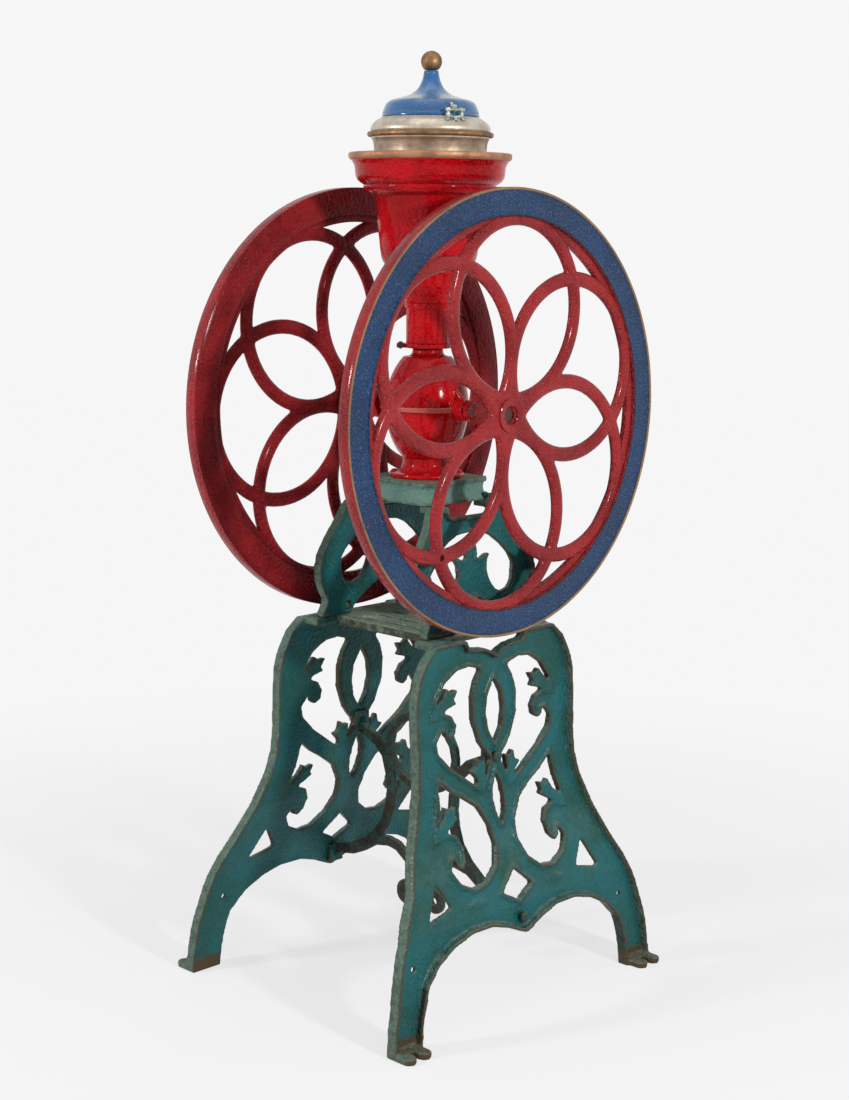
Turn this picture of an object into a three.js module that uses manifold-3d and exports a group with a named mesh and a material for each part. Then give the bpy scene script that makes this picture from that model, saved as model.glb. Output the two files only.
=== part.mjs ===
// A floor-standing coffee mill with two hand wheels: a pierced cast stand with a shelf,
// a cast grinding case on a yoke, a hopper with a domed top and hinged lid, and two
// wheels whose spokes are six overlapping circles.
// Millimetres. X runs along the shaft, Z is up, the origin is on the floor under the middle.

import * as THREE from 'three';
import { mergeVertices } from 'three/addons/utils/BufferGeometryUtils.js';
import Module from 'manifold-3d';

const wasm = await Module();
wasm.setup();

// Overall
const wheelDiameter = 762;
const frameHeight = 652;
const frameSpan = 652;
const fitGap = 0.3;
const overrun = 4;

// Flats of the turned pieces that fit one another
const shaftSides = 16;
const neckSides = 22;
const boltSides = 8;
const drillSides = 10;
const bowlSides = 28;

// Wheels
const wheelSpan = 403.6;
const rimWidth = 24.8;
const rimLip = 5;
const rimFaceDepth = 2.3;
const rimFaceWidth = 41;
const innerRimWidth = 13;
const innerRimSetback = 5.5;
const innerRimThickness = 12;
const ringHubPass = 24.8;
const ringRimGap = 1.5;
const ringBand = 26;
const ringThickness = 14;
const ringSetback = 4.8;
const ringCount = 6;
const handleHoleDiameter = 11;
const hubDiscRadius = 40;
const hubDiscThickness = 18;
const hubDiscSetback = 1.8;
const hubBarrelRadius = 32;
const hubBarrelLength = 50;
const hubRecessRadius = 17;
const hubRecessDepth = 4;
const hubPinRadius = 4;
const hubPinInset = 11;
const nearWheelTurn = THREE.MathUtils.degToRad(24.5);
const farWheelTurn = THREE.MathUtils.degToRad(-125.2);

// Shaft line
const shaftRadius = 14;
const journalRadius = 11;
const bushWall = 3.2;
const bossWall = 4;
const bossReach = 100;
const collarRadius = 15.5;
const collarWall = 4;
const collarStart = 100.5;
const collarLength = 24;
const burrRadius = 40;
const burrThickness = 10;
const burrGap = 0.6;
const burrFace = -37.5;
const burrGrooveCount = 8;
const burrGrooveWidth = 3.5;
const burrGrooveDepth = 3;
const feedScrewLength = 46;
const feedScrewWall = 4;
const feedScrewRadius = 27;
const feedBladeThickness = 5;
const feedTurns = 2;
const sleeveWall = 6;
const sleeveReach = 128;
const farBossWall = 7;
const nutRadius = 31;
const nutThickness = 14;
const nutLobes = 8;
const nutLobeDepth = 3;

// End frames
const frameWeb = 9;
const frameFlange = 14;
const flangeEdge = 6;
const ribWidth = 5.5;
const ribHeight = 5;
const legHoleDiameter = 10;
const footReach = 45;
const footThickness = 11;
const footWidth = 62;
const footSlotWidth = 8;
const footSlotLength = 28;
const padRise = 3;
const padDepth = 15;
const padMargin = 0.6;
const padWidth = 47;

// Cross brace
const braceThickness = 10;
const bowWidth = 22;
const ovalWidth = 17;
const waveWidth = 20;
const voluteRadius = 24;
const voluteEyeRadius = 7;
const lugWidth = 34;
const lugHeight = 34;
const lugThickness = 9;
const braceBoltRadius = 5;
const braceBoltHead = 10;
const braceBoltHeadHeight = 7;

// Shelf and yoke
const shelfHalfWidth = 102;
const shelfThickness = 9;
const shelfLip = 16;
const shelfLipThickness = 5;
const slotRows = 5;
const slotWidth = 9;
const slotLength = 46;
const yokeHeight = 217.7;
const yokeSpan = 217.7;
const yokeInset = 14.9;
const yokeDepth = 20;
const yokeWeb = 8;
const yokeFlange = 5;
const yokeRib = 5;
const yokePadReach = 41;
const yokePadWidth = 28;
const yokePadThickness = 11;
const yokeBoltRadius = 5;
const yokeBoltHead = 12;
const yokeBoltHeadHeight = 15;
const knobRadius = 6;
const knobLength = 15;

// Pedestal block and case
const blockHalf = 82;
const blockLip = 4;
const blockChamfer = 15;
const blockHeight = 39;
const blockLipHeight = 6;
const chuteRadius = 34;
const footDiscRadius = 66;
const footDiscThickness = 7.5;
const caseNeckRadius = 42;
const caseNeckHeight = 26.418;
const ballRadius = 73.4;
const ballHalfHeight = 108.5;
const caseWall = 6;
const caseFlangeRadius = 79;
const caseFlangeThickness = 7;
const collarTopRadius = 27;
const collarTopHeight = 16;
const collarSink = 1.634;
const collarTopWall = 6;
const gussetThickness = 8;
const gussetHeight = 32;
const footBoltRadius = 3.5;
const footBoltHead = 7;
const footBoltHeadHeight = 5;
const footBoltCircle = 56;

// Hopper stack, from the clamp ring up to the ball
const clampHeight = 8;
const clampRadius = 41;
const clampLug = 14;
const clampLugWidth = 16;
const clampScrewRadius = 3;
const clampScrewHead = 6;
const clampTurn = -135;
const neckRadius = 38.5;
const neckHeight = 60;
const neckWall = 5;
const beadOut = 3.1;
const beadHeight = 11;
const throatHeight = 55.7;
const throatTopRadius = 66;
const hopperHeight = 195;
const hopperTopRadius = 137;
const sheetWall = 4;
const rimRadius = 141.5;
const rimHeight = 16;
const rimPlate = 4;
const domeHeight = 59.7;
const domeRadius = 104;
const domeBandRadius = 109.5;
const domeBandHeight = 9;
const domeBandRise = 26;
const domeMouthRadius = 78;
const lidRadius = 84;
const lidHeight = 78.2;
const lidWall = 6;
const finialRadius = 18.3;
const finialSink = 3.5;
const hingeTurn = THREE.MathUtils.degToRad(-19.9);
const hingePinRadius = 2;
const hingeKnuckleRadius = 5;
const hingeWidth = 32;
const hingeMiddle = 11;
const hingePinOut = 10;
const hingePinRise = 9;
const hingeStrapLength = 18;

// Heights of the seats, each standing on the one below
const padTop = frameHeight + padRise;
const yokeBase = padTop + fitGap;
const yokeTop = yokeBase + yokeHeight;
const blockBase = yokeTop + fitGap;
const caseBase = blockBase + blockHeight + fitGap;
const eggRise = ballHalfHeight * Math.sqrt(1 - (caseNeckRadius / ballRadius) ** 2);
const shaftHeight = caseBase + footDiscThickness + caseNeckHeight + eggRise;
const collarTop = shaftHeight + eggRise - collarSink + collarTopHeight;
const clampBase = collarTop + fitGap;
const neckSeat = clampBase + clampHeight + fitGap;
const throatBase = neckSeat + neckHeight + beadHeight + fitGap;
const hopperBase = throatBase + throatHeight + fitGap;
const rimTop = hopperBase + hopperHeight + fitGap + rimPlate;
const domeBase = rimTop + fitGap;
const lidBase = domeBase + domeHeight + fitGap;
const lidTop = lidBase + lidHeight;

// Small tools for outlines and solids

// A width and a height that an outline's shares are taken of.
const frameSize = new THREE.Vector2(frameSpan, frameHeight);
const yokeSize = new THREE.Vector2(yokeSpan, yokeHeight);

function corners(shares, size) {
  return shares.map(([across, up]) => new THREE.Vector2(across * size.x, up * size.y));
}

// Points of a smooth curve through hand-chosen shares of a width and a height.
function smooth(shares, size, steps) {
  return new THREE.SplineCurve(corners(shares, size)).getPoints(steps);
}

function places(pairs) {
  return pairs.map(([across, up]) => new THREE.Vector2(across, up));
}

// The half outline from the middle line and its mirror image, as one closed outline.
function mirrored(half) {
  const other = half.map((p) => new THREE.Vector2(-p.x, p.y)).reverse();
  return tidy([...half, ...other]);
}

function flipped(outline) {
  return outline.map((p) => new THREE.Vector2(-p.x, p.y)).reverse();
}

// Leaves out points that fall on the one before, and turns the outline anticlockwise.
function tidy(points) {
  const near = fitGap / 3;
  const kept = points.filter((p, i) => p.distanceTo(points[(i + 1) % points.length]) > near);
  return THREE.ShapeUtils.isClockWise(kept) ? kept.reverse() : kept;
}

// An anticlockwise outline moved outwards by a distance, or inwards by a negative one.
function offset(outline, distance) {
  const count = outline.length;
  const moved = outline.map((p, i) => {
    const before = outline[(i + count - 1) % count];
    const after = outline[(i + 1) % count];
    const a = p.clone().sub(before).normalize();
    const b = after.clone().sub(p).normalize();
    const normal = new THREE.Vector2(a.y + b.y, -a.x - b.x).normalize();
    const spread = Math.max(normal.x * a.y - normal.y * a.x, 0.6);
    return p.clone().addScaledVector(normal, distance / spread);
  });
  return moved.filter((p, i) => {
    const next = moved[(i + 1) % count];
    const edge = outline[(i + 1) % count].clone().sub(outline[i]);
    return next.clone().sub(p).dot(edge) > 0;
  });
}

// A band of even width along a smooth centre line.
function strip(shares, size, width, steps) {
  const curve = new THREE.SplineCurve(corners(shares, size));
  const left = [];
  const right = [];
  for (let i = 0; i <= steps; i += 1) {
    const p = curve.getPoint(i / steps);
    const along = curve.getTangent(i / steps);
    const side = new THREE.Vector2(-along.y, along.x).multiplyScalar(width / 2);
    left.push(p.clone().add(side));
    right.push(p.clone().sub(side));
  }
  return tidy([...left, ...right.reverse()]);
}

// A closed geometry as a solid that can be joined and cut.
function solid(geometry) {
  const bare = geometry.index ? geometry.toNonIndexed() : geometry.clone();
  bare.deleteAttribute('normal');
  bare.deleteAttribute('uv');
  const merged = mergeVertices(bare, 1e-4);
  const faces = merged.index.array;
  const kept = [];
  for (let i = 0; i < faces.length; i += 3) {
    const [a, b, c] = [faces[i], faces[i + 1], faces[i + 2]];
    if (a !== b && b !== c && c !== a) kept.push(a, b, c);
  }
  const vertProperties = new Float32Array(merged.attributes.position.array);
  const triVerts = new Uint32Array(kept);
  return new wasm.Manifold(new wasm.Mesh({ numProp: 3, vertProperties, triVerts }));
}

function geometryOf(body) {
  const mesh = body.getMesh();
  const geometry = new THREE.BufferGeometry();
  geometry.setAttribute('position', new THREE.BufferAttribute(mesh.vertProperties, 3));
  geometry.setIndex(new THREE.BufferAttribute(mesh.triVerts, 1));
  const flat = geometry.toNonIndexed();
  flat.computeVertexNormals();
  return flat;
}

function extruded(outline, depth) {
  const shape = new THREE.Shape(tidy(outline));
  return new THREE.ExtrudeGeometry(shape, { depth, bevelEnabled: false, steps: 1 });
}

// Outline in (y, z), extruded from x0 to x1.
function alongX(outline, x0, x1) {
  const turn = new THREE.Matrix4().makeBasis(
    new THREE.Vector3(0, 1, 0),
    new THREE.Vector3(0, 0, 1),
    new THREE.Vector3(1, 0, 0),
  );
  return solid(extruded(outline, x1 - x0).applyMatrix4(turn).translate(x0, 0, 0));
}

// Outline in (x, z), extruded from y0 to y1.
function alongY(outline, y0, y1) {
  return solid(extruded(outline, y1 - y0).rotateX(Math.PI / 2).translate(0, y1, 0));
}

// Outline in (x, y), extruded from z0 to z1.
function alongZ(outline, z0, z1) {
  return solid(extruded(outline, z1 - z0).translate(0, 0, z0));
}

// Profile in (radius, z), turned about the Z axis.
function turnedZ(profile, segments) {
  return solid(new THREE.LatheGeometry(places(profile), segments).rotateX(Math.PI / 2));
}

// Profile in (radius, x), turned about the X axis.
function turnedX(profile, segments) {
  return solid(new THREE.LatheGeometry(places(profile), segments).rotateZ(-Math.PI / 2));
}

function rodX(radius, x0, x1, segments) {
  return turnedX([[0, x0], [radius, x0], [radius, x1], [0, x1]], segments);
}

function rodZ(radius, z0, z1, segments) {
  return turnedZ([[0, z0], [radius, z0], [radius, z1], [0, z1]], segments);
}

function rodY(radius, y0, y1, segments) {
  const rod = new THREE.CylinderGeometry(radius, radius, y1 - y0, segments);
  return solid(rod.translate(0, (y0 + y1) / 2, 0));
}

function joined(bodies) {
  return bodies.reduce((whole, body) => whole.add(body));
}

function closedRing(points) {
  return [...points, points[0]];
}

function box(x0, x1, y0, y1, z0, z1) {
  const geometry = new THREE.BoxGeometry(x1 - x0, y1 - y0, z1 - z0);
  return solid(geometry.translate((x0 + x1) / 2, (y0 + y1) / 2, (z0 + z1) / 2));
}

// Materials

const red = { color: 0xa5121a, roughness: 0.3, metalness: 0.1 };
const wheelRed = { color: 0xb0201c, roughness: 0.5, metalness: 0.1 };
const green = { color: 0x1f5a4e, roughness: 0.55, metalness: 0.1 };
const silver = { color: 0xc8c6be, roughness: 0.3, metalness: 0.9 };
const blue = { color: 0x1c2c7c, roughness: 0.3, metalness: 0.1 };
const copper = { color: 0x8a5a38, roughness: 0.4, metalness: 0.7 };
const bronze = { color: 0xa8875a, roughness: 0.35, metalness: 0.9 };
const steel = { color: 0x77726c, roughness: 0.45, metalness: 0.9 };

const mill = new THREE.Group();

function addPiece(name, body, finish, group = mill) {
  const mesh = new THREE.Mesh(geometryOf(body), new THREE.MeshStandardMaterial(finish));
  mesh.name = name;
  group.add(mesh);
  return mesh;
}

// End frames: a pierced web that flares towards the feet, with an edge flange, ribs round
// the scroll windows and leaves that stand free in them.

const frameTopShares = [[0, 0.948], [0.015, 0.958], [0.045, 0.97], [0.105, 0.977], [0.115, 1], [0.23, 1]];
const frameSideShares = [
  [0.23, 1], [0.279, 0.951], [0.305, 0.885], [0.311, 0.82], [0.307, 0.69], [0.315, 0.6],
  [0.342, 0.52], [0.393, 0.39], [0.44, 0.31], [0.48, 0.205], [0.505, 0.09], [0.514, 0],
];
const frameArchShares = [
  [0.414, 0], [0.405, 0.08], [0.383, 0.153], [0.338, 0.2], [0.275, 0.233], [0.202, 0.251],
  [0.13, 0.25], [0.07, 0.233], [0.025, 0.213], [0, 0.204],
];
const frameFlareShares = [
  [0.399, 0], [0.396, 0.092], [0.386, 0.206], [0.362, 0.322], [0.337, 0.391], [0.307, 0.46],
  [0.285, 0.537], [0.273, 0.62], [0.268, 0.69], [0.253, 1],
];

const upperArchShares = [
  [0.051, 0.913], [0.098, 0.926], [0.145, 0.921], [0.19, 0.894], [0.22, 0.852], [0.236, 0.808],
];
const upperHookShares = [
  [0.236, 0.808], [0.192, 0.818], [0.158, 0.798], [0.15, 0.766], [0.168, 0.742], [0.19, 0.752],
  [0.19, 0.766],
];
const upperSideShares = [
  [0.205, 0.768], [0.225, 0.742], [0.218, 0.712], [0.173, 0.667], [0.115, 0.626], [0.055, 0.586],
];
const upperFootShares = [[0.055, 0.586], [0.043, 0.612], [0.017, 0.663]];
const upperRingShares = [
  [0.017, 0.663], [0.06, 0.712], [0.084, 0.776], [0.087, 0.834], [0.072, 0.883], [0.051, 0.913],
];

const lowerSideShares = [[0.219, 0.637], [0.232, 0.577], [0.256, 0.492]];
const lowerHookShares = [
  [0.256, 0.492], [0.205, 0.502], [0.17, 0.482], [0.162, 0.44], [0.176, 0.408], [0.2, 0.411],
  [0.206, 0.436],
];
const lowerBowlShares = [
  [0.212, 0.436], [0.225, 0.408], [0.196, 0.368], [0.145, 0.352], [0.092, 0.367], [0.05, 0.415],
  [0.048, 0.47], [0.069, 0.528], [0.13, 0.574], [0.176, 0.601], [0.219, 0.637],
];

const leafShares = [
  [[0.187, 0.824], [0.145, 0.835], [0.158, 0.847], [0.14, 0.873], [0.169, 0.869],
    [0.181, 0.882], [0.199, 0.859], [0.241, 0.821], [0.215, 0.813]],
  [[0.207, 0.508], [0.163, 0.531], [0.173, 0.539], [0.164, 0.564], [0.193, 0.558],
    [0.202, 0.569], [0.218, 0.54], [0.26, 0.505], [0.222, 0.494]],
  [[0.046, 0.6], [0.04, 0.668], [0.057, 0.658], [0.071, 0.677], [0.078, 0.645],
    [0.098, 0.641], [0.074, 0.617], [0.071, 0.597], [0.057, 0.578]],
];

const upperLensShares = [[0, 0.883], [0.027, 0.84], [0.0345, 0.79], [0.026, 0.745], [0, 0.704]];
const lowerLensShares = [[0, 0.626], [0.016, 0.59], [0.021, 0.555], [0.015, 0.515], [0, 0.485]];
const kiteShares = [[0, 0.371], [0.04, 0.336], [0.058, 0.319], [0.02, 0.3], [0, 0.288]];
const triangleShares = [[0.291, 0.388], [0.339, 0.302], [0.25, 0.322]];
const bossLensShares = [[0.12, 0.313], [0.154, 0.324], [0.188, 0.313], [0.154, 0.302]];
const legHoleShare = [0.414, 0.206];

const flareSteps = 7;
const flareLine = smooth(frameFlareShares, frameSize, flareSteps);

// Distance of the web's outer face from the middle of the mill at a height.
function flareAt(z) {
  const i = Math.max(flareLine.findIndex((p) => p.y >= z), 1);
  const [a, b] = [flareLine[i - 1], flareLine[i]];
  return a.x + (b.x - a.x) * (z - a.y) / (b.y - a.y);
}

// Everything between two surfaces that follow the flare, from inside to outside of the web.
function flareBand(inside, outside) {
  const [foot, head] = [flareLine[0], flareLine[flareLine.length - 1]];
  const line = [
    new THREE.Vector2(foot.x, -overrun),
    ...flareLine,
    new THREE.Vector2(head.x, frameHeight + overrun),
  ];
  const outer = line.map((p) => new THREE.Vector2(p.x + outside, p.y));
  const inner = line.map((p) => new THREE.Vector2(p.x + inside, p.y)).reverse();
  return alongY([...outer, ...inner], -frameSpan, frameSpan);
}

function frameOutline() {
  return mirrored([
    ...corners(frameTopShares, frameSize),
    ...smooth(frameSideShares, frameSize, 14),
    ...smooth(frameArchShares, frameSize, 9),
  ]);
}

function frameWindows() {
  const upper = tidy([
    ...smooth(upperArchShares, frameSize, 5),
    ...smooth(upperHookShares, frameSize, 7),
    ...smooth(upperSideShares, frameSize, 5),
    ...smooth(upperFootShares, frameSize, 2),
    ...smooth(upperRingShares, frameSize, 5),
  ]);
  const lower = tidy([
    ...smooth(lowerSideShares, frameSize, 2),
    ...smooth(lowerHookShares, frameSize, 7),
    ...smooth(lowerBowlShares, frameSize, 11),
  ]);
  return [upper, lower, tidy(flipped(upper)), tidy(flipped(lower))];
}

function middleWindows() {
  return [
    mirrored(smooth(upperLensShares, frameSize, 4)),
    mirrored(smooth(lowerLensShares, frameSize, 4)),
    mirrored(corners(kiteShares, frameSize)),
  ];
}

// The leaves that stand free in the windows, on both sides.
function frameLeaves() {
  const leaves = leafShares.map((shares) => corners(shares, frameSize));
  return [...leaves, ...leaves.map(flipped)];
}

function buildFrame() {
  const outline = frameOutline();
  const reach = [0, frameSpan];
  const windows = [...frameWindows(), ...middleWindows()];
  const hollow = alongX(offset(outline, -flangeEdge), ...reach);
  const ribbed = joined(windows.map((window) => alongX(offset(window, ribWidth), ...reach)));
  const leaves = joined(frameLeaves().map((leaf) => alongX(leaf, ...reach)));
  const open = joined(windows.map((window) => alongX(window, ...reach))).subtract(leaves);

  let body = alongX(outline, ...reach).intersect(flareBand(-frameWeb, frameFlange));
  const pocket = hollow.intersect(flareBand(0, frameFlange + overrun));
  body = body.subtract(pocket.subtract(ribbed.intersect(flareBand(-overrun, ribHeight))));
  body = body.subtract(open);

  const bossBand = flareBand(-frameWeb / 2, ribHeight / 2);
  const hole = corners([legHoleShare], frameSize)[0];
  for (const side of [1, -1]) {
    const triangle = corners(triangleShares, frameSize).map((p) => p.setX(p.x * side));
    body = body.subtract(alongX(triangle, ...reach));
    const boss = corners(bossLensShares, frameSize).map((p) => p.setX(p.x * side));
    body = body.add(alongX(boss, ...reach).intersect(bossBand));
    const drill = rodX(legHoleDiameter / 2, 0, frameSpan, drillSides);
    body = body.subtract(drill.translate(0, hole.x * side, hole.y));
    body = body.add(frameFoot(side)).add(framePad(side));
  }
  for (const z of braceBoltHeights()) {
    const drill = rodX(braceBoltRadius + fitGap, 0, frameSpan, boltSides);
    body = body.subtract(drill.translate(0, 0, z));
  }
  return body;
}

// A flat foot that reaches outwards, with a slot open to its toe.
function frameFoot(side) {
  const heel = flareAt(0) - frameWeb;
  const toe = flareAt(0) + footReach;
  const outerEdge = frameSideShares[frameSideShares.length - 1][0] * frameSpan;
  const middle = outerEdge - footWidth / 2;
  const round = (footWidth - footSlotWidth) / 4;
  const half = [
    new THREE.Vector2(heel, footWidth / 2),
    new THREE.Vector2(toe - round, footWidth / 2),
    new THREE.Vector2(toe - round * 0.3, footWidth / 2 - round * 0.3),
    new THREE.Vector2(toe, footWidth / 2 - round),
    new THREE.Vector2(toe - round * 0.3, footSlotWidth / 2 + round * 0.3),
    new THREE.Vector2(toe - round, footSlotWidth / 2),
    new THREE.Vector2(toe - footSlotLength, footSlotWidth / 2),
  ];
  const other = half.map((p) => new THREE.Vector2(p.x, -p.y)).reverse();
  return alongZ([...half, ...other], 0, footThickness).translate(0, side * middle, 0);
}

// Distance from the middle of the mill to the inner edge of the pads under the yoke's feet.
function padInner() {
  return yokeFlareLine()[0].x - yokeDepth - padMargin;
}

// A bracket inside the top of the frame, under one foot of the yoke.
function framePad(side) {
  const out = flareAt(frameHeight) - frameWeb / 2;
  const inner = shelfHalfWidth + fitGap;
  const [y0, y1] = side > 0 ? [inner, inner + padWidth] : [-inner - padWidth, -inner];
  return box(padInner(), out, y0, y1, padTop - padDepth, padTop);
}

// Cross brace: bow-shaped bands, an oval, a waved lower band and two hanging volutes,
// bolted to the middle of both end frames.

const bowShares = [
  [0.29, 0.669], [0.207, 0.632], [0.15, 0.598], [0.123, 0.521], [0.123, 0.46], [0.141, 0.391],
  [0.192, 0.33], [0.268, 0.284], [0.395, 0.247],
];
const waveShares = [
  [0.395, 0.262], [0.322, 0.267], [0.276, 0.275], [0.23, 0.296], [0.184, 0.324], [0.13, 0.334],
  [0.092, 0.328], [0.05, 0.3], [0, 0.288],
];
const ovalShare = { middle: 0.622, across: 0.128, up: 0.106 };
const voluteShare = [0.056, 0.201];
const stemShares = [[0.02, 0.3], [0.012, 0.25], [0.03, 0.21]];
const braceBoltShares = [0.669, 0.245];

function braceBoltHeights() {
  return braceBoltShares.map((share) => share * frameHeight);
}

function ovalRing(width, segments) {
  const points = [];
  for (let i = 0; i < segments; i += 1) {
    const angle = (i / segments) * 2 * Math.PI;
    const across = ovalShare.across * frameSpan + width / 2;
    const up = ovalShare.up * frameHeight + width / 2;
    const middle = ovalShare.middle * frameHeight;
    points.push(new THREE.Vector2(across * Math.cos(angle), middle + up * Math.sin(angle)));
  }
  return points;
}

function buildBrace() {
  const [back, front] = [-braceThickness / 2, braceThickness / 2];
  const [low, high] = [back - overrun, front + overrun];
  const oval = alongY(ovalRing(ovalWidth, 20), low, high);
  let shape = oval.subtract(alongY(ovalRing(-ovalWidth, 16), low - overrun, high + overrun));
  const bands = [
    strip(bowShares, frameSize, bowWidth, 11),
    strip(waveShares, frameSize, waveWidth, 8),
    strip(stemShares, frameSize, waveWidth / 2, 4),
  ];
  const volute = corners([voluteShare], frameSize)[0];
  for (const side of [1, -1]) {
    for (const band of bands) {
      shape = shape.add(alongY(band.map((p) => new THREE.Vector2(p.x * side, p.y)), low, high));
    }
    const curl = rodY(voluteRadius, low, high, 14).translate(volute.x * side, 0, volute.y);
    const eye = rodY(voluteEyeRadius, low - overrun, high + overrun, 8);
    shape = shape.add(curl).subtract(eye.translate(volute.x * side, 0, volute.y));
  }
  const plate = box(-frameSpan, frameSpan, back, front, 0, frameHeight);
  let body = plate.subtract(plate.subtract(shape));
  for (const side of [1, -1]) {
    for (const z of braceBoltHeights()) {
      const out = flareAt(z);
      const [x0, x1] = [out - frameWeb - lugThickness, out + overrun].map((x) => x * side).sort(
        (a, b) => a - b,
      );
      body = body.add(
        box(x0, x1, -lugWidth / 2, lugWidth / 2, z - lugHeight / 2, z + lugHeight / 2),
      );
    }
  }
  for (const side of [1, -1]) {
    const outside = flareBand(-frameWeb - fitGap, frameSpan);
    body = body.subtract(side > 0 ? outside : outside.rotate([0, 0, 180]));
    for (const z of braceBoltHeights()) {
      const inner = flareAt(z) - frameWeb - lugThickness - overrun;
      const drill = rodX(braceBoltRadius + fitGap, inner, frameSpan, boltSides);
      const hole = drill.translate(0, 0, z);
      body = body.subtract(side > 0 ? hole : hole.rotate([0, 0, 180]));
    }
  }
  return body;
}

// A round-headed bolt from outside through the web and the brace's lug.
function buildBraceBolt(z) {
  const seat = flareAt(z - braceBoltHead) + ribHeight + fitGap;
  const inner = flareAt(z) - frameWeb - lugThickness - overrun;
  return turnedX([
    [0, inner],
    [braceBoltRadius, inner],
    [braceBoltRadius, seat],
    [braceBoltHead, seat],
    [braceBoltHead * 0.75, seat + braceBoltHeadHeight * 0.75],
    [0, seat + braceBoltHeadHeight],
  ], 8).translate(0, 0, z);
}

// Shelf: a pierced plate with a lip, between the end frames.

function buildShelf() {
  const reach = flareAt(frameHeight) - frameWeb - fitGap;
  const base = padTop - shelfThickness;
  const lipReach = padInner() - overrun;
  let body = box(-reach, reach, -shelfHalfWidth, shelfHalfWidth, base, padTop);
  for (const side of [1, -1]) {
    const edge = side * shelfHalfWidth;
    const [y0, y1] = [edge, edge - side * shelfLipThickness].sort((a, b) => a - b);
    body = body.add(box(-lipReach, lipReach, y0, y1, padTop - shelfLip, padTop));
  }
  const pitch = (2 * shelfHalfWidth - 2 * slotWidth) / slotRows;
  for (let row = 0; row < slotRows; row += 1) {
    const y = (row - (slotRows - 1) / 2) * pitch;
    for (const column of [-1, 0, 1]) {
      const x = column * slotLength * 1.35;
      const end = slotLength / 2;
      const slot = places([
        [x - end, y], [x - end + slotWidth / 2, y - slotWidth / 2],
        [x + end - slotWidth / 2, y - slotWidth / 2], [x + end, y],
        [x + end - slotWidth / 2, y + slotWidth / 2],
        [x - end + slotWidth / 2, y + slotWidth / 2],
      ]);
      body = body.subtract(alongZ(slot, base - overrun, padTop + overrun));
    }
  }
  for (const [x, y] of yokeBoltPlaces()) {
    const drill = rodZ(yokeBoltRadius + fitGap, base - overrun, padTop + overrun, 10);
    body = body.subtract(drill.translate(x, y, 0));
  }
  return body;
}

// Yoke plates: two pierced cheeks between the shelf and the pedestal block.

const yokeSideShares = [
  [0.36, 1], [0.45, 0.965], [0.492, 0.894], [0.525, 0.815], [0.66, 0.615], [0.7, 0.48],
  [0.695, 0.35], [0.655, 0.245], [0.59, 0.16], [0.583, 0.11], [0.634, 0],
];
const yokeArchShares = [[0.303, 0], [0.275, 0.06], [0.16, 0.16], [0.055, 0.228], [0, 0.26]];
const yokeTopShares = [[0, 0.908], [0.18, 0.908], [0.235, 0.918], [0.26, 0.965], [0.29, 1], [0.36, 1]];
const yokeWindowShares = [
  [0, 0.775], [0.124, 0.766], [0.216, 0.738], [0.308, 0.678], [0.4, 0.605], [0.455, 0.536],
  [0.482, 0.46], [0.446, 0.334], [0.395, 0.285], [0.331, 0.265], [0.265, 0.28], [0.215, 0.335],
  [0.178, 0.398], [0.165, 0.467], [0.179, 0.536], [0.216, 0.591],
];
const yokeTulipShares = [
  [0.161, 0.587], [0.101, 0.554], [0.06, 0.568], [0.069, 0.596], [0.06, 0.701], [0.037, 0.678],
  [0, 0.735],
];
const yokeFlareShares = [[0.648, 0], [0.597, 0.39], [0.551, 0.757], [0.528, 0.917], [0.496, 1]];
const yokeBoltShare = 0.345;

// The yoke's outer face from foot to head, its foot a set way inside the end frame.
function yokeFlareLine() {
  const foot = flareAt(frameHeight) - frameWeb - yokeInset;
  const line = corners(yokeFlareShares, yokeSize);
  const shift = foot - line[0].x;
  return line.map((p) => new THREE.Vector2(p.x + shift, p.y));
}

function yokeFlareAt(z) {
  const line = yokeFlareLine();
  const i = Math.max(line.findIndex((p) => p.y >= z - yokeBase - fitGap), 1);
  const [a, b] = [line[i - 1], line[i]];
  return a.x + (b.x - a.x) * (z - yokeBase - a.y) / (b.y - a.y);
}

function yokeBoltPlaces() {
  const x = yokeFlareAt(yokeBase) - yokeDepth / 2;
  const y = yokeBoltShare * yokeSpan;
  return [[x, y], [x, -y], [-x, y], [-x, -y]];
}

function yokeBand(inside, outside) {
  const line = yokeFlareLine();
  const [foot, head] = [line[0], line[line.length - 1]];
  const whole = [
    new THREE.Vector2(foot.x, -overrun),
    ...line,
    new THREE.Vector2(head.x, yokeHeight + overrun),
  ];
  const outer = whole.map((p) => new THREE.Vector2(p.x + outside, p.y));
  const inner = whole.map((p) => new THREE.Vector2(p.x + inside, p.y)).reverse();
  return alongY([...outer, ...inner], -yokeSpan, yokeSpan);
}

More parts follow.
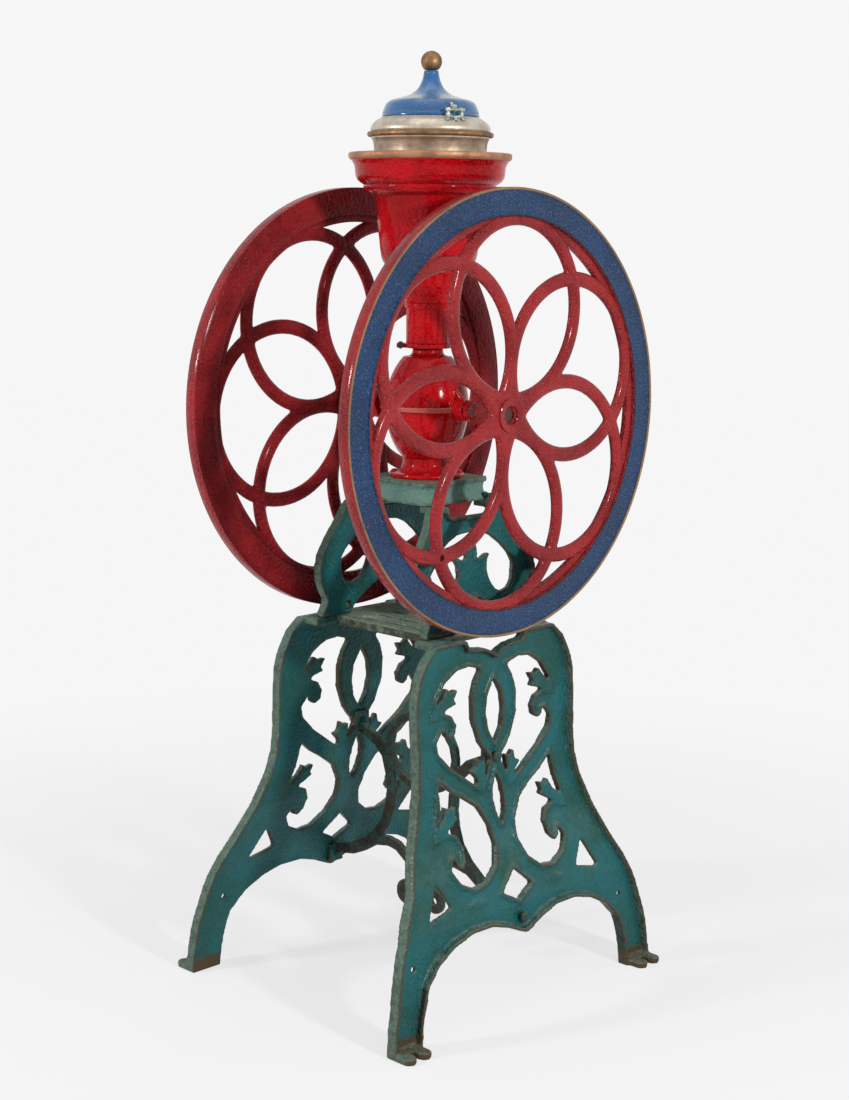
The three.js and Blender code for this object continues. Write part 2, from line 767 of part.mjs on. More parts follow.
function buildYoke() {
  const outline = mirrored([
    ...corners(yokeTopShares, yokeSize),
    ...smooth(yokeSideShares, yokeSize, 11),
    ...corners(yokeArchShares, yokeSize),
  ]);
  const window = mirrored([
    ...smooth(yokeWindowShares, yokeSize, 13),
    ...corners(yokeTulipShares, yokeSize),
  ]);
  const hollow = alongX(offset(outline, -yokeFlange), 0, yokeSpan);
  const ribbed = alongX(offset(window, yokeRib), 0, yokeSpan);
  let body = alongX(outline, 0, yokeSpan).intersect(yokeBand(-yokeDepth, 0));
  const pocket = hollow.intersect(yokeBand(yokeWeb - yokeDepth, overrun));
  body = body.subtract(pocket.subtract(ribbed.intersect(yokeBand(-yokeDepth, -yokeDepth / 2))));
  body = body.subtract(alongX(window, 0, yokeSpan));
  const edge = yokeTopShares[yokeTopShares.length - 1][0] * yokeSpan;
  const flare = yokeFlareLine();
  const topOut = flare[flare.length - 1].x;
  const footOut = flare[0].x;
  for (const side of [1, -1]) {
    const [y0, y1] = [side * (edge - yokePadWidth), side * (edge + yokePadWidth / 4)].sort(
      (a, b) => a - b,
    );
    const top = yokeHeight;
    body = body.add(box(topOut - yokePadReach, topOut, y0, y1, top - yokePadThickness, top));
    const y = side * yokeBoltShare * yokeSpan;
    const lug = rodZ(yokeBoltHead, 0, yokeBoltHeadHeight / 2, 10);
    body = body.add(lug.translate(footOut - yokeDepth / 2, y, 0));
    const room = rodZ(yokeBoltHead + fitGap * 2, yokeBoltHeadHeight / 2, yokeBoltHeadHeight * 2, 10);
    body = body.subtract(room.translate(footOut - yokeDepth / 2, y, 0));
    const drill = rodZ(yokeBoltRadius + fitGap, -overrun, yokeBoltHeadHeight, 10);
    body = body.subtract(drill.translate(footOut - yokeDepth / 2, y, 0));
  }
  return body.translate(0, 0, yokeBase);
}

function buildYokeBolt() {
  const seat = yokeBase + yokeBoltHeadHeight / 2 + fitGap;
  const end = padTop - shelfThickness - overrun;
  return turnedZ([
    [0, end],
    [yokeBoltRadius, end],
    [yokeBoltRadius, seat],
    [yokeBoltHead, seat],
    [yokeBoltHead * 0.8, seat + yokeBoltHeadHeight * 0.5],
    [0, seat + yokeBoltHeadHeight * 0.85],
  ], 10);
}

// Pedestal block: a square casting with cut corners, lips and a chute through it.

function squareOutline(half, chamfer) {
  const outline = [];
  for (const [sx, sy] of [[1, -1], [1, 1], [-1, 1], [-1, -1]]) {
    const along = new THREE.Vector2(sx * half, sy * (half - chamfer));
    const across = new THREE.Vector2(sx * (half - chamfer), sy * half);
    outline.push(...(sx * sy < 0 ? [across, along] : [along, across]));
  }
  return outline;
}

function buildBlock() {
  const top = blockBase + blockHeight;
  let body = alongZ(squareOutline(blockHalf, blockChamfer), blockBase, top);
  const bottomLip = squareOutline(blockHalf + blockLip, blockChamfer);
  const topLip = squareOutline(blockHalf + blockLip / 2, blockChamfer);
  body = body.add(alongZ(bottomLip, blockBase, blockBase + blockLipHeight));
  body = body.add(alongZ(topLip, top - blockLipHeight, top));
  body = body.subtract(rodZ(chuteRadius, blockBase - overrun, top + overrun, 24));
  for (const [x, y] of footBoltPlaces()) {
    const drill = rodZ(footBoltRadius + fitGap, top - blockHeight / 2, top + overrun, 6);
    body = body.subtract(drill.translate(x, y, 0));
  }
  for (const [x, y, outX] of knobPlaces()) {
    const inner = Math.abs(x) - knobLength;
    const socket = rodX(knobRadius * 0.5 + fitGap, inner, blockHalf * 2, 8);
    const placed = outX > 0 ? socket : socket.rotate([0, 0, 180]);
    body = body.subtract(placed.translate(0, y, blockBase + blockLipHeight / 2 + knobRadius));
  }
  return body;
}

function footBoltPlaces() {
  return [45, 135, 225, 315].map((degrees) => {
    const angle = THREE.MathUtils.degToRad(degrees);
    return [footBoltCircle * Math.cos(angle), footBoltCircle * Math.sin(angle)];
  });
}

function buildFootBolt() {
  const seat = caseBase + footDiscThickness + fitGap;
  const end = blockBase + blockHeight / 2 + overrun;
  return turnedZ([
    [0, end],
    [footBoltRadius, end],
    [footBoltRadius, seat],
    [footBoltHead, seat],
    [footBoltHead, seat + footBoltHeadHeight * 0.7],
    [footBoltHead * 0.6, seat + footBoltHeadHeight],
    [0, seat + footBoltHeadHeight],
  ], 6);
}

// Small turned knobs at the four corners of the block, pointing along the shaft.

function knobPlaces() {
  const y = blockHalf - blockChamfer - knobRadius;
  const x = blockHalf + blockLip;
  return [[x, y, 1], [x, -y, 1], [-x, y, -1], [-x, -y, -1]];
}

function buildKnob() {
  const face = blockHalf + blockLip + fitGap;
  return turnedX([
    [0, face - knobLength],
    [knobRadius * 0.5, face - knobLength],
    [knobRadius * 0.5, face],
    [knobRadius, face],
    [knobRadius * 0.7, face + knobLength * 0.5],
    [knobRadius * 0.8, face + knobLength],
    [0, face + knobLength],
  ], 8).translate(0, 0, blockBase + blockLipHeight / 2 + knobRadius);
}

// Grinding case: a hollow egg on a foot, split at the shaft, with a boss on each side.

const bossRadius = journalRadius + fitGap + bushWall + bossWall;
const sleeveRadius = journalRadius + fitGap + sleeveWall;
const farBossRadius = sleeveRadius + fitGap + farBossWall;

// Half outline of the egg between two radii, lower one first, as (radius, height).
function eggLine(wall, lowRadius, highRadius, steps) {
  const across = ballRadius - wall;
  const up = ballHalfHeight - wall;
  const from = -Math.acos(lowRadius / across);
  const to = Math.acos(highRadius / across);
  const points = [];
  for (let i = 0; i <= steps; i += 1) {
    const angle = from + (to - from) * (i / steps);
    points.push([across * Math.cos(angle), shaftHeight + up * Math.sin(angle)]);
  }
  return points;
}

function buildCase() {
  const foot = caseBase + footDiscThickness;
  const bore = collarTopRadius - collarTopWall;
  const profile = [
    [chuteRadius, caseBase],
    [footDiscRadius, caseBase],
    [footDiscRadius, foot],
    [caseNeckRadius + caseWall, foot],
    [caseNeckRadius, foot + footDiscThickness / 2],
    ...eggLine(0, caseNeckRadius, caseNeckRadius, 11),
    [collarTopRadius, collarTop - collarTopHeight],
    [collarTopRadius, collarTop],
    [bore, collarTop],
    ...eggLine(caseWall, chuteRadius, bore, 5).reverse(),
  ];
  let body = turnedZ(closedRing(profile), neckSides);
  const flange = [
    [ballRadius - caseWall / 2, shaftHeight - caseFlangeThickness / 2],
    [caseFlangeRadius, shaftHeight - caseFlangeThickness / 2],
    [caseFlangeRadius, shaftHeight + caseFlangeThickness / 2],
    [ballRadius - caseWall / 2, shaftHeight + caseFlangeThickness / 2],
  ];
  body = body.add(turnedZ(closedRing(flange), neckSides));
  const root = ballRadius - caseWall;
  body = body.add(rodX(bossRadius, root, bossReach, shaftSides).translate(0, 0, shaftHeight));
  body = body.add(rodX(farBossRadius, -bossReach, -root, shaftSides).translate(0, 0, shaftHeight));
  const gusset = places([
    [root, shaftHeight + bossRadius * 0.9],
    [bossReach - caseWall, shaftHeight + bossRadius * 0.9],
    [bossReach - caseWall, shaftHeight + bossRadius * 0.95],
    [root, shaftHeight + bossRadius + gussetHeight],
  ]);
  body = body.add(alongY(gusset, -gussetThickness / 2, gussetThickness / 2));
  const nearBore = journalRadius + bushWall + 2 * fitGap;
  const nearDrill = rodX(nearBore, 0, bossReach + overrun, shaftSides);
  body = body.subtract(nearDrill.translate(0, 0, shaftHeight));
  const farDrill = rodX(sleeveRadius + fitGap, -bossReach - overrun, 0, shaftSides);
  body = body.subtract(farDrill.translate(0, 0, shaftHeight));
  for (const [x, y] of footBoltPlaces()) {
    const drill = rodZ(footBoltRadius + fitGap, caseBase - overrun, foot + overrun, 6);
    body = body.subtract(drill.translate(x, y, 0));
  }
  return body;
}

function caseHalves() {
  const whole = buildCase();
  const reach = bossReach + overrun;
  const lowerRoom = box(-reach, reach, -reach, reach, shaftHeight - fitGap / 2, neckSeat);
  const upperRoom = box(-reach, reach, -reach, reach, caseBase - overrun, shaftHeight + fitGap / 2);
  return [whole.subtract(lowerRoom), whole.subtract(upperRoom)];
}

function buildNearBush() {
  const outer = journalRadius + fitGap + bushWall;
  const inner = journalRadius + fitGap;
  return turnedX(closedRing([
    [inner, bossReach - caseWall * 5], [outer, bossReach - caseWall * 5],
    [outer, bossReach], [inner, bossReach],
  ]), shaftSides).translate(0, 0, shaftHeight);
}

// Drive line: shaft, feed screw, burrs, collar and the grind adjuster.

function buildShaft() {
  const end = wheelSpan / 2 - hubDiscSetback - hubRecessDepth;
  const step = bossReach + fitGap;
  const farStep = sleeveReach + overrun;
  const body = turnedX([
    [0, -end], [shaftRadius, -end], [shaftRadius, -farStep], [journalRadius, -farStep],
    [journalRadius, step], [shaftRadius - bushWall / 2, step], [shaftRadius - bushWall / 2, step
      + collarLength + overrun], [shaftRadius, step + collarLength + overrun],
    [shaftRadius, end], [0, end],
  ], shaftSides);
  const hole = hubPinPlace();
  let drilled = body;
  for (const [x, turn] of [[hole, nearWheelTurn], [-hole, farWheelTurn]]) {
    const drill = rodZ(hubPinRadius + fitGap, -hubBarrelRadius, hubBarrelRadius, 8);
    const turned = drill.translate(x, 0, 0).rotate([THREE.MathUtils.radToDeg(turn), 0, 0]);
    drilled = drilled.subtract(turned);
  }
  return drilled.translate(0, 0, shaftHeight);
}

function buildCollar() {
  const bore = shaftRadius - bushWall / 2 + fitGap;
  const end = collarStart + collarLength;
  const body = turnedX([
    [0, collarStart], [collarRadius + collarWall / 2, collarStart],
    [collarRadius + collarWall / 2, collarStart + collarLength * 0.4],
    [collarRadius, collarStart + collarLength * 0.4],
    [collarRadius, end], [0, end],
  ], 6);
  const hole = rodX(bore, collarStart - overrun, end + overrun, shaftSides);
  return body.subtract(hole).translate(0, 0, shaftHeight);
}

// A burr ring with radial grooves cut in the face towards the other burr.
function buildBurr(x0, faceX, boreRadius) {
  const back = x0;
  const [low, high] = [Math.min(back, faceX), Math.max(back, faceX)];
  let body = turnedX(closedRing([
    [boreRadius, low], [burrRadius, low], [burrRadius, high], [boreRadius, high],
  ]), shaftSides);
  const inward = Math.sign(back - faceX) * burrGrooveDepth;
  const [g0, g1] = [faceX + inward, faceX - inward].sort((a, b) => a - b);
  for (let i = 0; i < burrGrooveCount; i += 1) {
    const groove = box(g0, g1, boreRadius * 1.5, burrRadius * 1.2,
      -burrGrooveWidth / 2, burrGrooveWidth / 2);
    body = body.subtract(groove.rotate([(i * 360) / burrGrooveCount, 0, 0]));
  }
  return body.translate(0, 0, shaftHeight);
}

// The helical blade pushes the beans along the shaft to the burrs.
class FeedHelix extends THREE.Curve {
  getPoint(t, target = new THREE.Vector3()) {
    const angle = t * feedTurns * 2 * Math.PI;
    const radius = (feedScrewRadius + journalRadius) / 2;
    const run = feedScrewLength - feedBladeThickness * 2;
    return target.set(
      burrFace + burrThickness + fitGap * 2 + feedBladeThickness + run * t,
      radius * Math.cos(angle),
      radius * Math.sin(angle),
    );
  }
}

function buildFeedScrew() {
  const start = burrFace + burrThickness + fitGap * 2;
  const inner = journalRadius + fitGap;
  const core = turnedX(closedRing([
    [inner, start], [inner + feedScrewWall, start],
    [inner + feedScrewWall, start + feedScrewLength], [inner, start + feedScrewLength],
  ]), shaftSides);
  const blade = sweptBlade(new FeedHelix(), 9);
  const drill = rodX(inner, start - overrun, start + feedScrewLength + overrun, shaftSides);
  return core.add(blade).subtract(drill).translate(0, 0, shaftHeight);
}

// The blade, built of short steps along the curve.
function sweptBlade(curve, steps) {
  let body = null;
  const run = curve.getPoint(1).x - curve.getPoint(0).x;
  const width = feedBladeThickness + run / steps;
  for (let i = 0; i < steps; i += 1) {
    const at = curve.getPoint((i + 0.5) / steps);
    const angle = (360 * feedTurns * (i + 0.5)) / steps;
    const spread = (Math.PI * feedTurns * feedScrewRadius * 1.06) / steps;
    const piece = box(at.x - width / 2, at.x + width / 2, journalRadius, feedScrewRadius,
      -spread, spread).rotate([angle, 0, 0]);
    body = body ? body.add(piece) : piece;
  }
  return body;
}

function buildSleeve() {
  const inner = journalRadius + fitGap;
  return turnedX(closedRing([
    [inner, -sleeveReach], [sleeveRadius, -sleeveReach],
    [sleeveRadius, burrFace - burrGap - burrThickness - 2 * fitGap],
    [inner, burrFace - burrGap - burrThickness - 2 * fitGap],
  ]), shaftSides).translate(0, 0, shaftHeight);
}

// A lobed hand nut on the sleeve, against the far boss.
function buildNut() {
  const points = [];
  const steps = nutLobes * 4;
  for (let i = 0; i < steps; i += 1) {
    const angle = (i / steps) * 2 * Math.PI;
    const radius = nutRadius + (nutLobeDepth / 2) * Math.cos(angle * nutLobes);
    points.push(new THREE.Vector2(radius * Math.cos(angle), radius * Math.sin(angle)));
  }
  const [outer, inner] = [-bossReach - fitGap - nutThickness, -bossReach - fitGap];
  const body = alongX(points, outer, inner);
  const boreRadius = (sleeveRadius + fitGap) / Math.cos(Math.PI / shaftSides);
  const bore = rodX(boreRadius, outer - overrun, inner + overrun, shaftSides);
  return body.subtract(bore).translate(0, 0, shaftHeight);
}

// Wheels: a broad rim with a painted face, and spokes made of six overlapping circles.

const wheelFace = wheelSpan / 2;
const rimFaceEdge = wheelDiameter / 2 - rimLip - rimFaceDepth - rimFaceWidth;
const ringRadius = (rimFaceEdge - ringRimGap - ringHubPass) / 2;
const ringOffset = (rimFaceEdge - ringRimGap + ringHubPass) / 2;

function hubPinPlace() {
  return wheelFace - hubDiscSetback - hubDiscThickness - hubBarrelLength + hubPinInset
    + hubDiscThickness / 2;
}

function buildWheel() {
  const radius = wheelDiameter / 2;
  const back = wheelFace - rimWidth;
  const face = wheelFace - rimFaceDepth;
  const step = face - innerRimSetback;
  const rim = turnedX(closedRing([
    [radius, back],
    [radius, wheelFace],
    [radius - rimLip, wheelFace],
    [radius - rimLip - rimFaceDepth, face],
    [rimFaceEdge, face],
    [rimFaceEdge, step],
    [rimFaceEdge - innerRimWidth, step],
    [rimFaceEdge - innerRimWidth, step - innerRimThickness],
    [rimFaceEdge, step - innerRimThickness],
    [rimFaceEdge, back],
  ]), 40);

  const [low, high] = [wheelFace - ringSetback - ringThickness, wheelFace - ringSetback];
  const [inner, outer] = [ringRadius - ringBand / 2, ringRadius + ringBand / 2];
  const circle = turnedX(closedRing([
    [outer, low - overrun],
    [outer, high + overrun],
    [inner, high + overrun],
    [inner, low - overrun],
  ]), 24);
  const circles = [];
  for (let i = 0; i < ringCount; i += 1) {
    circles.push(circle.translate(0, ringOffset, 0).rotate([(i * 360) / ringCount, 0, 0]));
  }
  const plate = rodX(rimFaceEdge - innerRimWidth / 2, low, high, 40);
  const spokes = plate.subtract(plate.subtract(joined(circles)));

  const hubFace = wheelFace - hubDiscSetback;
  const discBack = hubFace - hubDiscThickness;
  const hub = turnedX([
    [0, discBack - hubBarrelLength + hubDiscThickness / 2],
    [hubBarrelRadius, discBack - hubBarrelLength + hubDiscThickness / 2],
    [hubBarrelRadius, discBack],
    [hubDiscRadius, discBack],
    [hubDiscRadius, hubFace],
    [0, hubFace],
  ], 20);
  let body = rim.add(spokes).add(hub);
  body = body.subtract(rodX(hubRecessRadius, hubFace - hubRecessDepth, wheelFace + overrun, 16));
  body = body.subtract(rodX(shaftRadius + fitGap, 0, wheelFace, shaftSides));

  const crossing = Math.sqrt(ringRadius ** 2 - (ringOffset / 2) ** 2)
    + ringOffset * Math.cos(Math.PI / ringCount);
  const hole = rodX(handleHoleDiameter / 2, back, wheelFace, 12).translate(0, crossing, 0);
  body = body.subtract(hole.rotate([-150, 0, 0]));
  const pin = rodZ(hubPinRadius + fitGap, -hubDiscRadius, hubDiscRadius, 8);
  return body.subtract(pin.translate(hubPinPlace(), 0, 0));
}

function buildHubPin() {
  const reach = hubBarrelRadius + overrun;
  return rodZ(hubPinRadius, -reach, reach, 8).translate(hubPinPlace(), 0, 0);
}

// Hopper stack: clamp ring, neck, throat, bowl, rim, dome, lid and ball.

function buildClampRing() {
  const bore = collarTopRadius + fitGap;
  let body = turnedZ(closedRing([
    [bore, clampBase], [clampRadius, clampBase],
    [clampRadius, clampBase + clampHeight], [bore, clampBase + clampHeight],
  ]), neckSides);
  body = body.rotate([0, 0, -clampTurn]);
  const [x0, x1] = [clampRadius - clampLug / 2, clampRadius + clampLug];
  const lug = box(x0, x1, -clampLugWidth / 2, clampLugWidth / 2, clampBase,
    clampBase + clampHeight);
  const slit = box(bore - overrun, x1 + overrun, -fitGap * 3, fitGap * 3,
    clampBase - overrun, clampBase + clampHeight + overrun);
  body = body.add(lug).subtract(slit);
  const drill = rodY(clampScrewRadius + fitGap, -clampLugWidth, clampLugWidth, 10);
  return body.subtract(drill.translate(...clampScrewPlace()));
}

function clampScrewPlace() {
  return [clampRadius + clampLug / 2, 0, clampBase + clampHeight / 2];
}

function buildClampScrew() {
  const end = clampLugWidth / 2 + overrun;
  const shank = rodY(clampScrewRadius, -end, end, 10);
  const head = rodY(clampScrewHead, -end - clampScrewHead, -clampLugWidth / 2 - fitGap, 12);
  const nut = rodY(clampScrewHead, clampLugWidth / 2 + fitGap, end, 6);
  return shank.add(head).add(nut).translate(...clampScrewPlace());
}

function buildNeck() {
  const spigot = collarTopRadius;
  const bore = collarTopRadius - collarTopWall;
  const top = neckSeat + neckHeight + beadHeight;
  const inner = neckRadius - neckWall;
  return turnedZ(closedRing([
    [bore, clampBase],
    [spigot, clampBase],
    [spigot, neckSeat],
    [neckRadius, neckSeat],
    [neckRadius, neckSeat + neckHeight],
    [neckRadius + beadOut, neckSeat + neckHeight + beadHeight * 0.2],
    [neckRadius + beadOut, top],
    [inner, top],
    [inner, neckSeat + neckHeight * 0.3],
    [bore, neckSeat],
  ]), neckSides);
}

const throatShares = [[0, 0], [0.38, 0.3], [0.8, 0.68], [1, 0.88], [1, 1]];

function buildThroat() {
  const from = neckRadius + beadOut;
  const line = (inset) => throatShares.map(([out, up]) => [
    from + (throatTopRadius - from) * out - inset,
    throatBase + throatHeight * up,
  ]);
  return turnedZ(closedRing([...line(0), ...line(sheetWall).reverse()]), neckSides);
}

// Shares of the bowl's growth in radius and of its height.
const hopperShares = [
  [0, 0], [0.18, 0.065], [0.26, 0.14], [0.31, 0.31], [0.35, 0.48], [0.42, 0.665],
  [0.6, 0.7], [0.635, 0.757], [0.81, 0.803], [0.92, 0.94], [1, 0.965], [1, 1],
];
const hopperInsideShares = [
  [0, 0], [0.18, 0.065], [0.31, 0.31], [0.42, 0.665], [0.635, 0.757], [0.92, 0.94], [0.95, 1],
];

function buildHopper() {
  const from = throatTopRadius;
  const line = (shares, inset) => shares.map(([out, up]) => [
    from + (hopperTopRadius - from) * out - inset,
    hopperBase + hopperHeight * up,
  ]);
  const outside = line(hopperShares, 0);
  const inside = line(hopperInsideShares, sheetWall).reverse();
  return turnedZ(closedRing([...outside, ...inside]), bowlSides);
}

function buildRim() {
  const inner = domeRadius - sheetWall - fitGap * 20;
  const bottom = rimTop - rimHeight;
  return turnedZ(closedRing([
    [hopperTopRadius + fitGap, bottom],
    [rimRadius, bottom],
    [rimRadius, rimTop - rimPlate / 2],
    [rimRadius - rimPlate / 2, rimTop],
    [inner, rimTop],
    [inner, rimTop - rimPlate],
    [hopperTopRadius + fitGap, rimTop - rimPlate],
  ]), bowlSides);
}

// Shares of the dome's outer radius and of its height; the band sits in the groove.
const domeShares = [
  [0.933, 0], [0.933, 0.13], [0.952, 0.3], [0.981, 0.395], [0.981, 0.6], [1, 0.63], [0.99, 0.715],
  [0.962, 0.8], [0.846, 0.967], [0.808, 1],
];

const domeInsideShares = [[0.79, 0.99], [0.96, 0.75], [0.981, 0.6], [0.933, 0.2], [0.933, 0]];

function domeLine(inset, shares = domeShares) {
  return shares.map(([out, up]) => [
    domeRadius * out + inset,
    domeBase + domeHeight * up + (up > 0.7 ? inset : 0),
  ]);
}

function buildDome() {
  const top = domeBase + domeHeight;
  return turnedZ(closedRing([
    ...domeLine(0),
    [domeMouthRadius, top],
    ...domeLine(-sheetWall, domeInsideShares),
  ]), bowlSides);
}

function buildDomeBand() {
  const seat = domeRadius * domeShares[3][0] + fitGap;
  const base = domeBase + domeBandRise;
  const side = domeBandRadius - (domeBandRadius - seat) * 0.3;
  return turnedZ(closedRing([
    [seat, base], [side, base], [domeBandRadius, base + domeBandHeight / 2],
    [side, base + domeBandHeight], [seat, base + domeBandHeight],
  ]), bowlSides);
}

// Shares of the lid's radius and height.
const lidShares = [
  [1, 0], [1, 0.04], [0.962, 0.17], [0.91, 0.3], [0.827, 0.363], [0.607, 0.427], [0.432, 0.49],
  [0.275, 0.62], [0.182, 0.812], [0.151, 1],
];
const lidHollowShares = [[0, 0.52], [0.3, 0.42], [0.58, 0.34], [0.8, 0.28], [0.87, 0.15]];

function buildLid() {
  const line = lidShares.map(([out, up]) => [lidRadius * out, lidBase + lidHeight * up]);
  const hollow = lidHollowShares.map(([out, up]) => [lidRadius * out, lidBase + lidHeight * up]);
  return turnedZ([...hollow, [lidRadius - lidWall, lidBase], ...line, [0, lidTop]], neckSides);
}

function buildFinial() {
  const seat = lidTop + fitGap;
  const middle = seat - finialSink + finialRadius;
  const steps = 7;
  const from = Math.asin((seat - middle) / finialRadius);
  const profile = [[0, seat]];
  for (let i = 0; i < steps; i += 1) {
    const angle = from + (Math.PI / 2 - from) * (i / steps);
    profile.push([finialRadius * Math.cos(angle), middle + finialRadius * Math.sin(angle)]);
  }
  profile.push([0, middle + finialRadius]);
  return turnedZ(profile, 16);
}

// Lid hinge, built on the +X side of the lid and turned round to its place.

const hingeX = lidRadius + hingePinOut;
const hingeZ = lidBase + hingePinRise;

function buildHingeBase() {
  const top = hingeZ + hingeKnuckleRadius;
  const shoulder = domeBase + domeBandRise + domeBandHeight + fitGap;
  const outline = places([
    [lidRadius + fitGap * 3, top - hingeKnuckleRadius * 2],
    [hingeX - hingeKnuckleRadius, top - hingeKnuckleRadius],
    [hingeX, top],
    [hingeX + hingeKnuckleRadius, top - hingeKnuckleRadius],
    [hingeX + hingeKnuckleRadius * 2, top - hingeKnuckleRadius * 4],
    [hingeX + hingeKnuckleRadius * 2.4, shoulder],
    [hingeX - hingeKnuckleRadius * 2, shoulder],
  ]);
  let body = alongY(outline, -hingeWidth / 2, hingeWidth / 2);
  const middle = hingeMiddle / 2 + fitGap;
  const room = hingeKnuckleRadius + fitGap * 4;
  body = body.subtract(rodY(room, -middle, middle, 14).translate(hingeX, 0, hingeZ));
  body = body.subtract(box(0, hingeX, -middle, middle, hingeZ - room, top + overrun));
  const grown = turnedZ([[0, domeBase], ...domeLine(fitGap), [0, lidBase]], bowlSides);
  body = body.subtract(grown.rotate([0, 0, -THREE.MathUtils.radToDeg(hingeTurn)]));
  return body.subtract(rodY(hingePinRadius + fitGap, -hingeWidth, hingeWidth, 10)
    .translate(hingeX, 0, hingeZ));
}

function buildHingeLeaf() {
  const half = hingeMiddle / 2;
  const strapTop = lidBase + lidHeight * 0.3;
  let body = rodY(hingeKnuckleRadius, -half, half, 14).translate(hingeX, 0, hingeZ);
  body = body.add(box(lidRadius - hingeStrapLength, hingeX, -half, half,
    hingeZ - hingeKnuckleRadius * 0.4, strapTop));
  const grown = turnedZ([
    [0, lidBase],
    ...lidShares.map(([out, up]) => [lidRadius * out + fitGap, lidBase + lidHeight * up + fitGap]),
    [0, lidTop],
  ], neckSides);
  body = body.subtract(grown.rotate([0, 0, -THREE.MathUtils.radToDeg(hingeTurn)]));
  return body.subtract(rodY(hingePinRadius + fitGap, -hingeWidth, hingeWidth, 10)
    .translate(hingeX, 0, hingeZ));
}

function buildHingePin() {
  const end = hingeWidth / 2 + fitGap * 5;
  return rodY(hingePinRadius, -end, end, 10).translate(hingeX, 0, hingeZ);
}

// The mill

const frame = buildFrame();
addPiece('end_frame_near', frame, green);
addPiece('end_frame_far', frame, green).rotation.z = Math.PI;

addPiece('cross_brace', buildBrace(), green);
braceBoltHeights().forEach((z, i) => {
  const level = ['upper', 'lower'][i];
  addPiece(`brace_bolt_${level}_near`, buildBraceBolt(z), steel);
  addPiece(`brace_bolt_${level}_far`, buildBraceBolt(z), steel).rotation.z = Math.PI;
});

addPiece('shelf_grille', buildShelf(), green);
const yoke = buildYoke();
addPiece('yoke_plate_near', yoke, green);
addPiece('yoke_plate_far', yoke, green).rotation.z = Math.PI;
const yokeBolt = buildYokeBolt();
yokeBoltPlaces().forEach(([x, y], i) => {
  addPiece(`yoke_foot_bolt_${i + 1}`, yokeBolt, steel).position.set(x, y, 0);
});

addPiece('pedestal_block', buildBlock(), green);
knobPlaces().forEach(([, y, side], i) => {
  const knob = addPiece(`block_knob_${i + 1}`, buildKnob(), green);
  knob.position.set(0, y, 0);
  knob.rotation.z = side > 0 ? 0 : Math.PI;
});

const [caseLower, caseUpper] = caseHalves();
addPiece('case_lower', caseLower, red);
addPiece('case_upper', caseUpper, red);
const footBolt = buildFootBolt();
footBoltPlaces().forEach(([x, y], i) => {
  addPiece(`case_foot_bolt_${i + 1}`, footBolt, steel).position.set(x, y, 0);
});
addPiece('near_bush', buildNearBush(), bronze);

addPiece('main_shaft', buildShaft(), steel);
addPiece('shaft_collar', buildCollar(), steel);
addPiece('feed_screw', buildFeedScrew(), steel);
addPiece('rotating_burr', buildBurr(burrFace + burrThickness, burrFace, journalRadius + fitGap), steel);
const fixedFace = burrFace - burrGap;
addPiece('fixed_burr', buildBurr(fixedFace - burrThickness, fixedFace, journalRadius + 2 * fitGap), steel);
addPiece('adjusting_sleeve', buildSleeve(), steel);
addPiece('adjusting_nut', buildNut(), steel);

const wheel = buildWheel();
const hubPin = buildHubPin();
const wheelPlaces = [['near', nearWheelTurn, 0], ['far', farWheelTurn, Math.PI]];
for (const [end, turn, about] of wheelPlaces) {
  const side = new THREE.Group();
  side.position.set(0, 0, shaftHeight);
  side.rotation.set(turn, 0, about);
  addPiece(`wheel_${end}`, wheel, wheelRed, side);
  addPiece(`hub_pin_${end}`, hubPin, steel, side);
  mill.add(side);
}

const clamp = new THREE.Group();
clamp.rotation.z = THREE.MathUtils.degToRad(clampTurn);
addPiece('clamp_ring', buildClampRing(), red, clamp);
addPiece('clamp_screw', buildClampScrew(), steel, clamp);
mill.add(clamp);

addPiece('hopper_neck', buildNeck(), red);
addPiece('hopper_throat', buildThroat(), red);
addPiece('hopper_bowl', buildHopper(), red);
addPiece('hopper_rim', buildRim(), copper);
addPiece('hopper_dome', buildDome(), silver);
addPiece('dome_band', buildDomeBand(), bronze);
addPiece('lid', buildLid(), blue);
addPiece('finial_ball', buildFinial(), bronze);

const hinge = new THREE.Group();
hinge.rotation.z = hingeTurn;
addPiece('hinge_base', buildHingeBase(), green, hinge);
addPiece('hinge_leaf', buildHingeLeaf(), green, hinge);
addPiece('hinge_pin', buildHingePin(), steel, hinge);
mill.add(hinge);

export default mill;
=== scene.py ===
import math

import bpy
from mathutils import Matrix, Vector


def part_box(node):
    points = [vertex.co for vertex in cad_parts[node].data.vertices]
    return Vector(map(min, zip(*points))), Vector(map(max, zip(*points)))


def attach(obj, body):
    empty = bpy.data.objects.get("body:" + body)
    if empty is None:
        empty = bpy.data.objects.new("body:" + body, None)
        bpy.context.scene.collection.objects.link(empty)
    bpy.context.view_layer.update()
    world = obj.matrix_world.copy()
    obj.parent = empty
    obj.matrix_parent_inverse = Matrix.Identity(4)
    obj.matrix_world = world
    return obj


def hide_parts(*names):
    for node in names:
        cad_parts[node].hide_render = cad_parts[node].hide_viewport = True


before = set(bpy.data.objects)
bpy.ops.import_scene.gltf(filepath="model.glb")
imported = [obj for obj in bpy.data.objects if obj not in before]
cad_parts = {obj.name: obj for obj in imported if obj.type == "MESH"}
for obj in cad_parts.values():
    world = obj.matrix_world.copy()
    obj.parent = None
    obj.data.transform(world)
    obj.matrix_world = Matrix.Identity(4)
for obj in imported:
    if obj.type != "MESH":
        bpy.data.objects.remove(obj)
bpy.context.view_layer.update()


# End frames of the stand: two pierced scroll castings in grey iron, poured in sand and
# painted green, that flare to slotted feet. Their skin is remade in small even faces and
# worn soft, as the edges of a sand casting are. Rust shows at the feet and on the ribs.

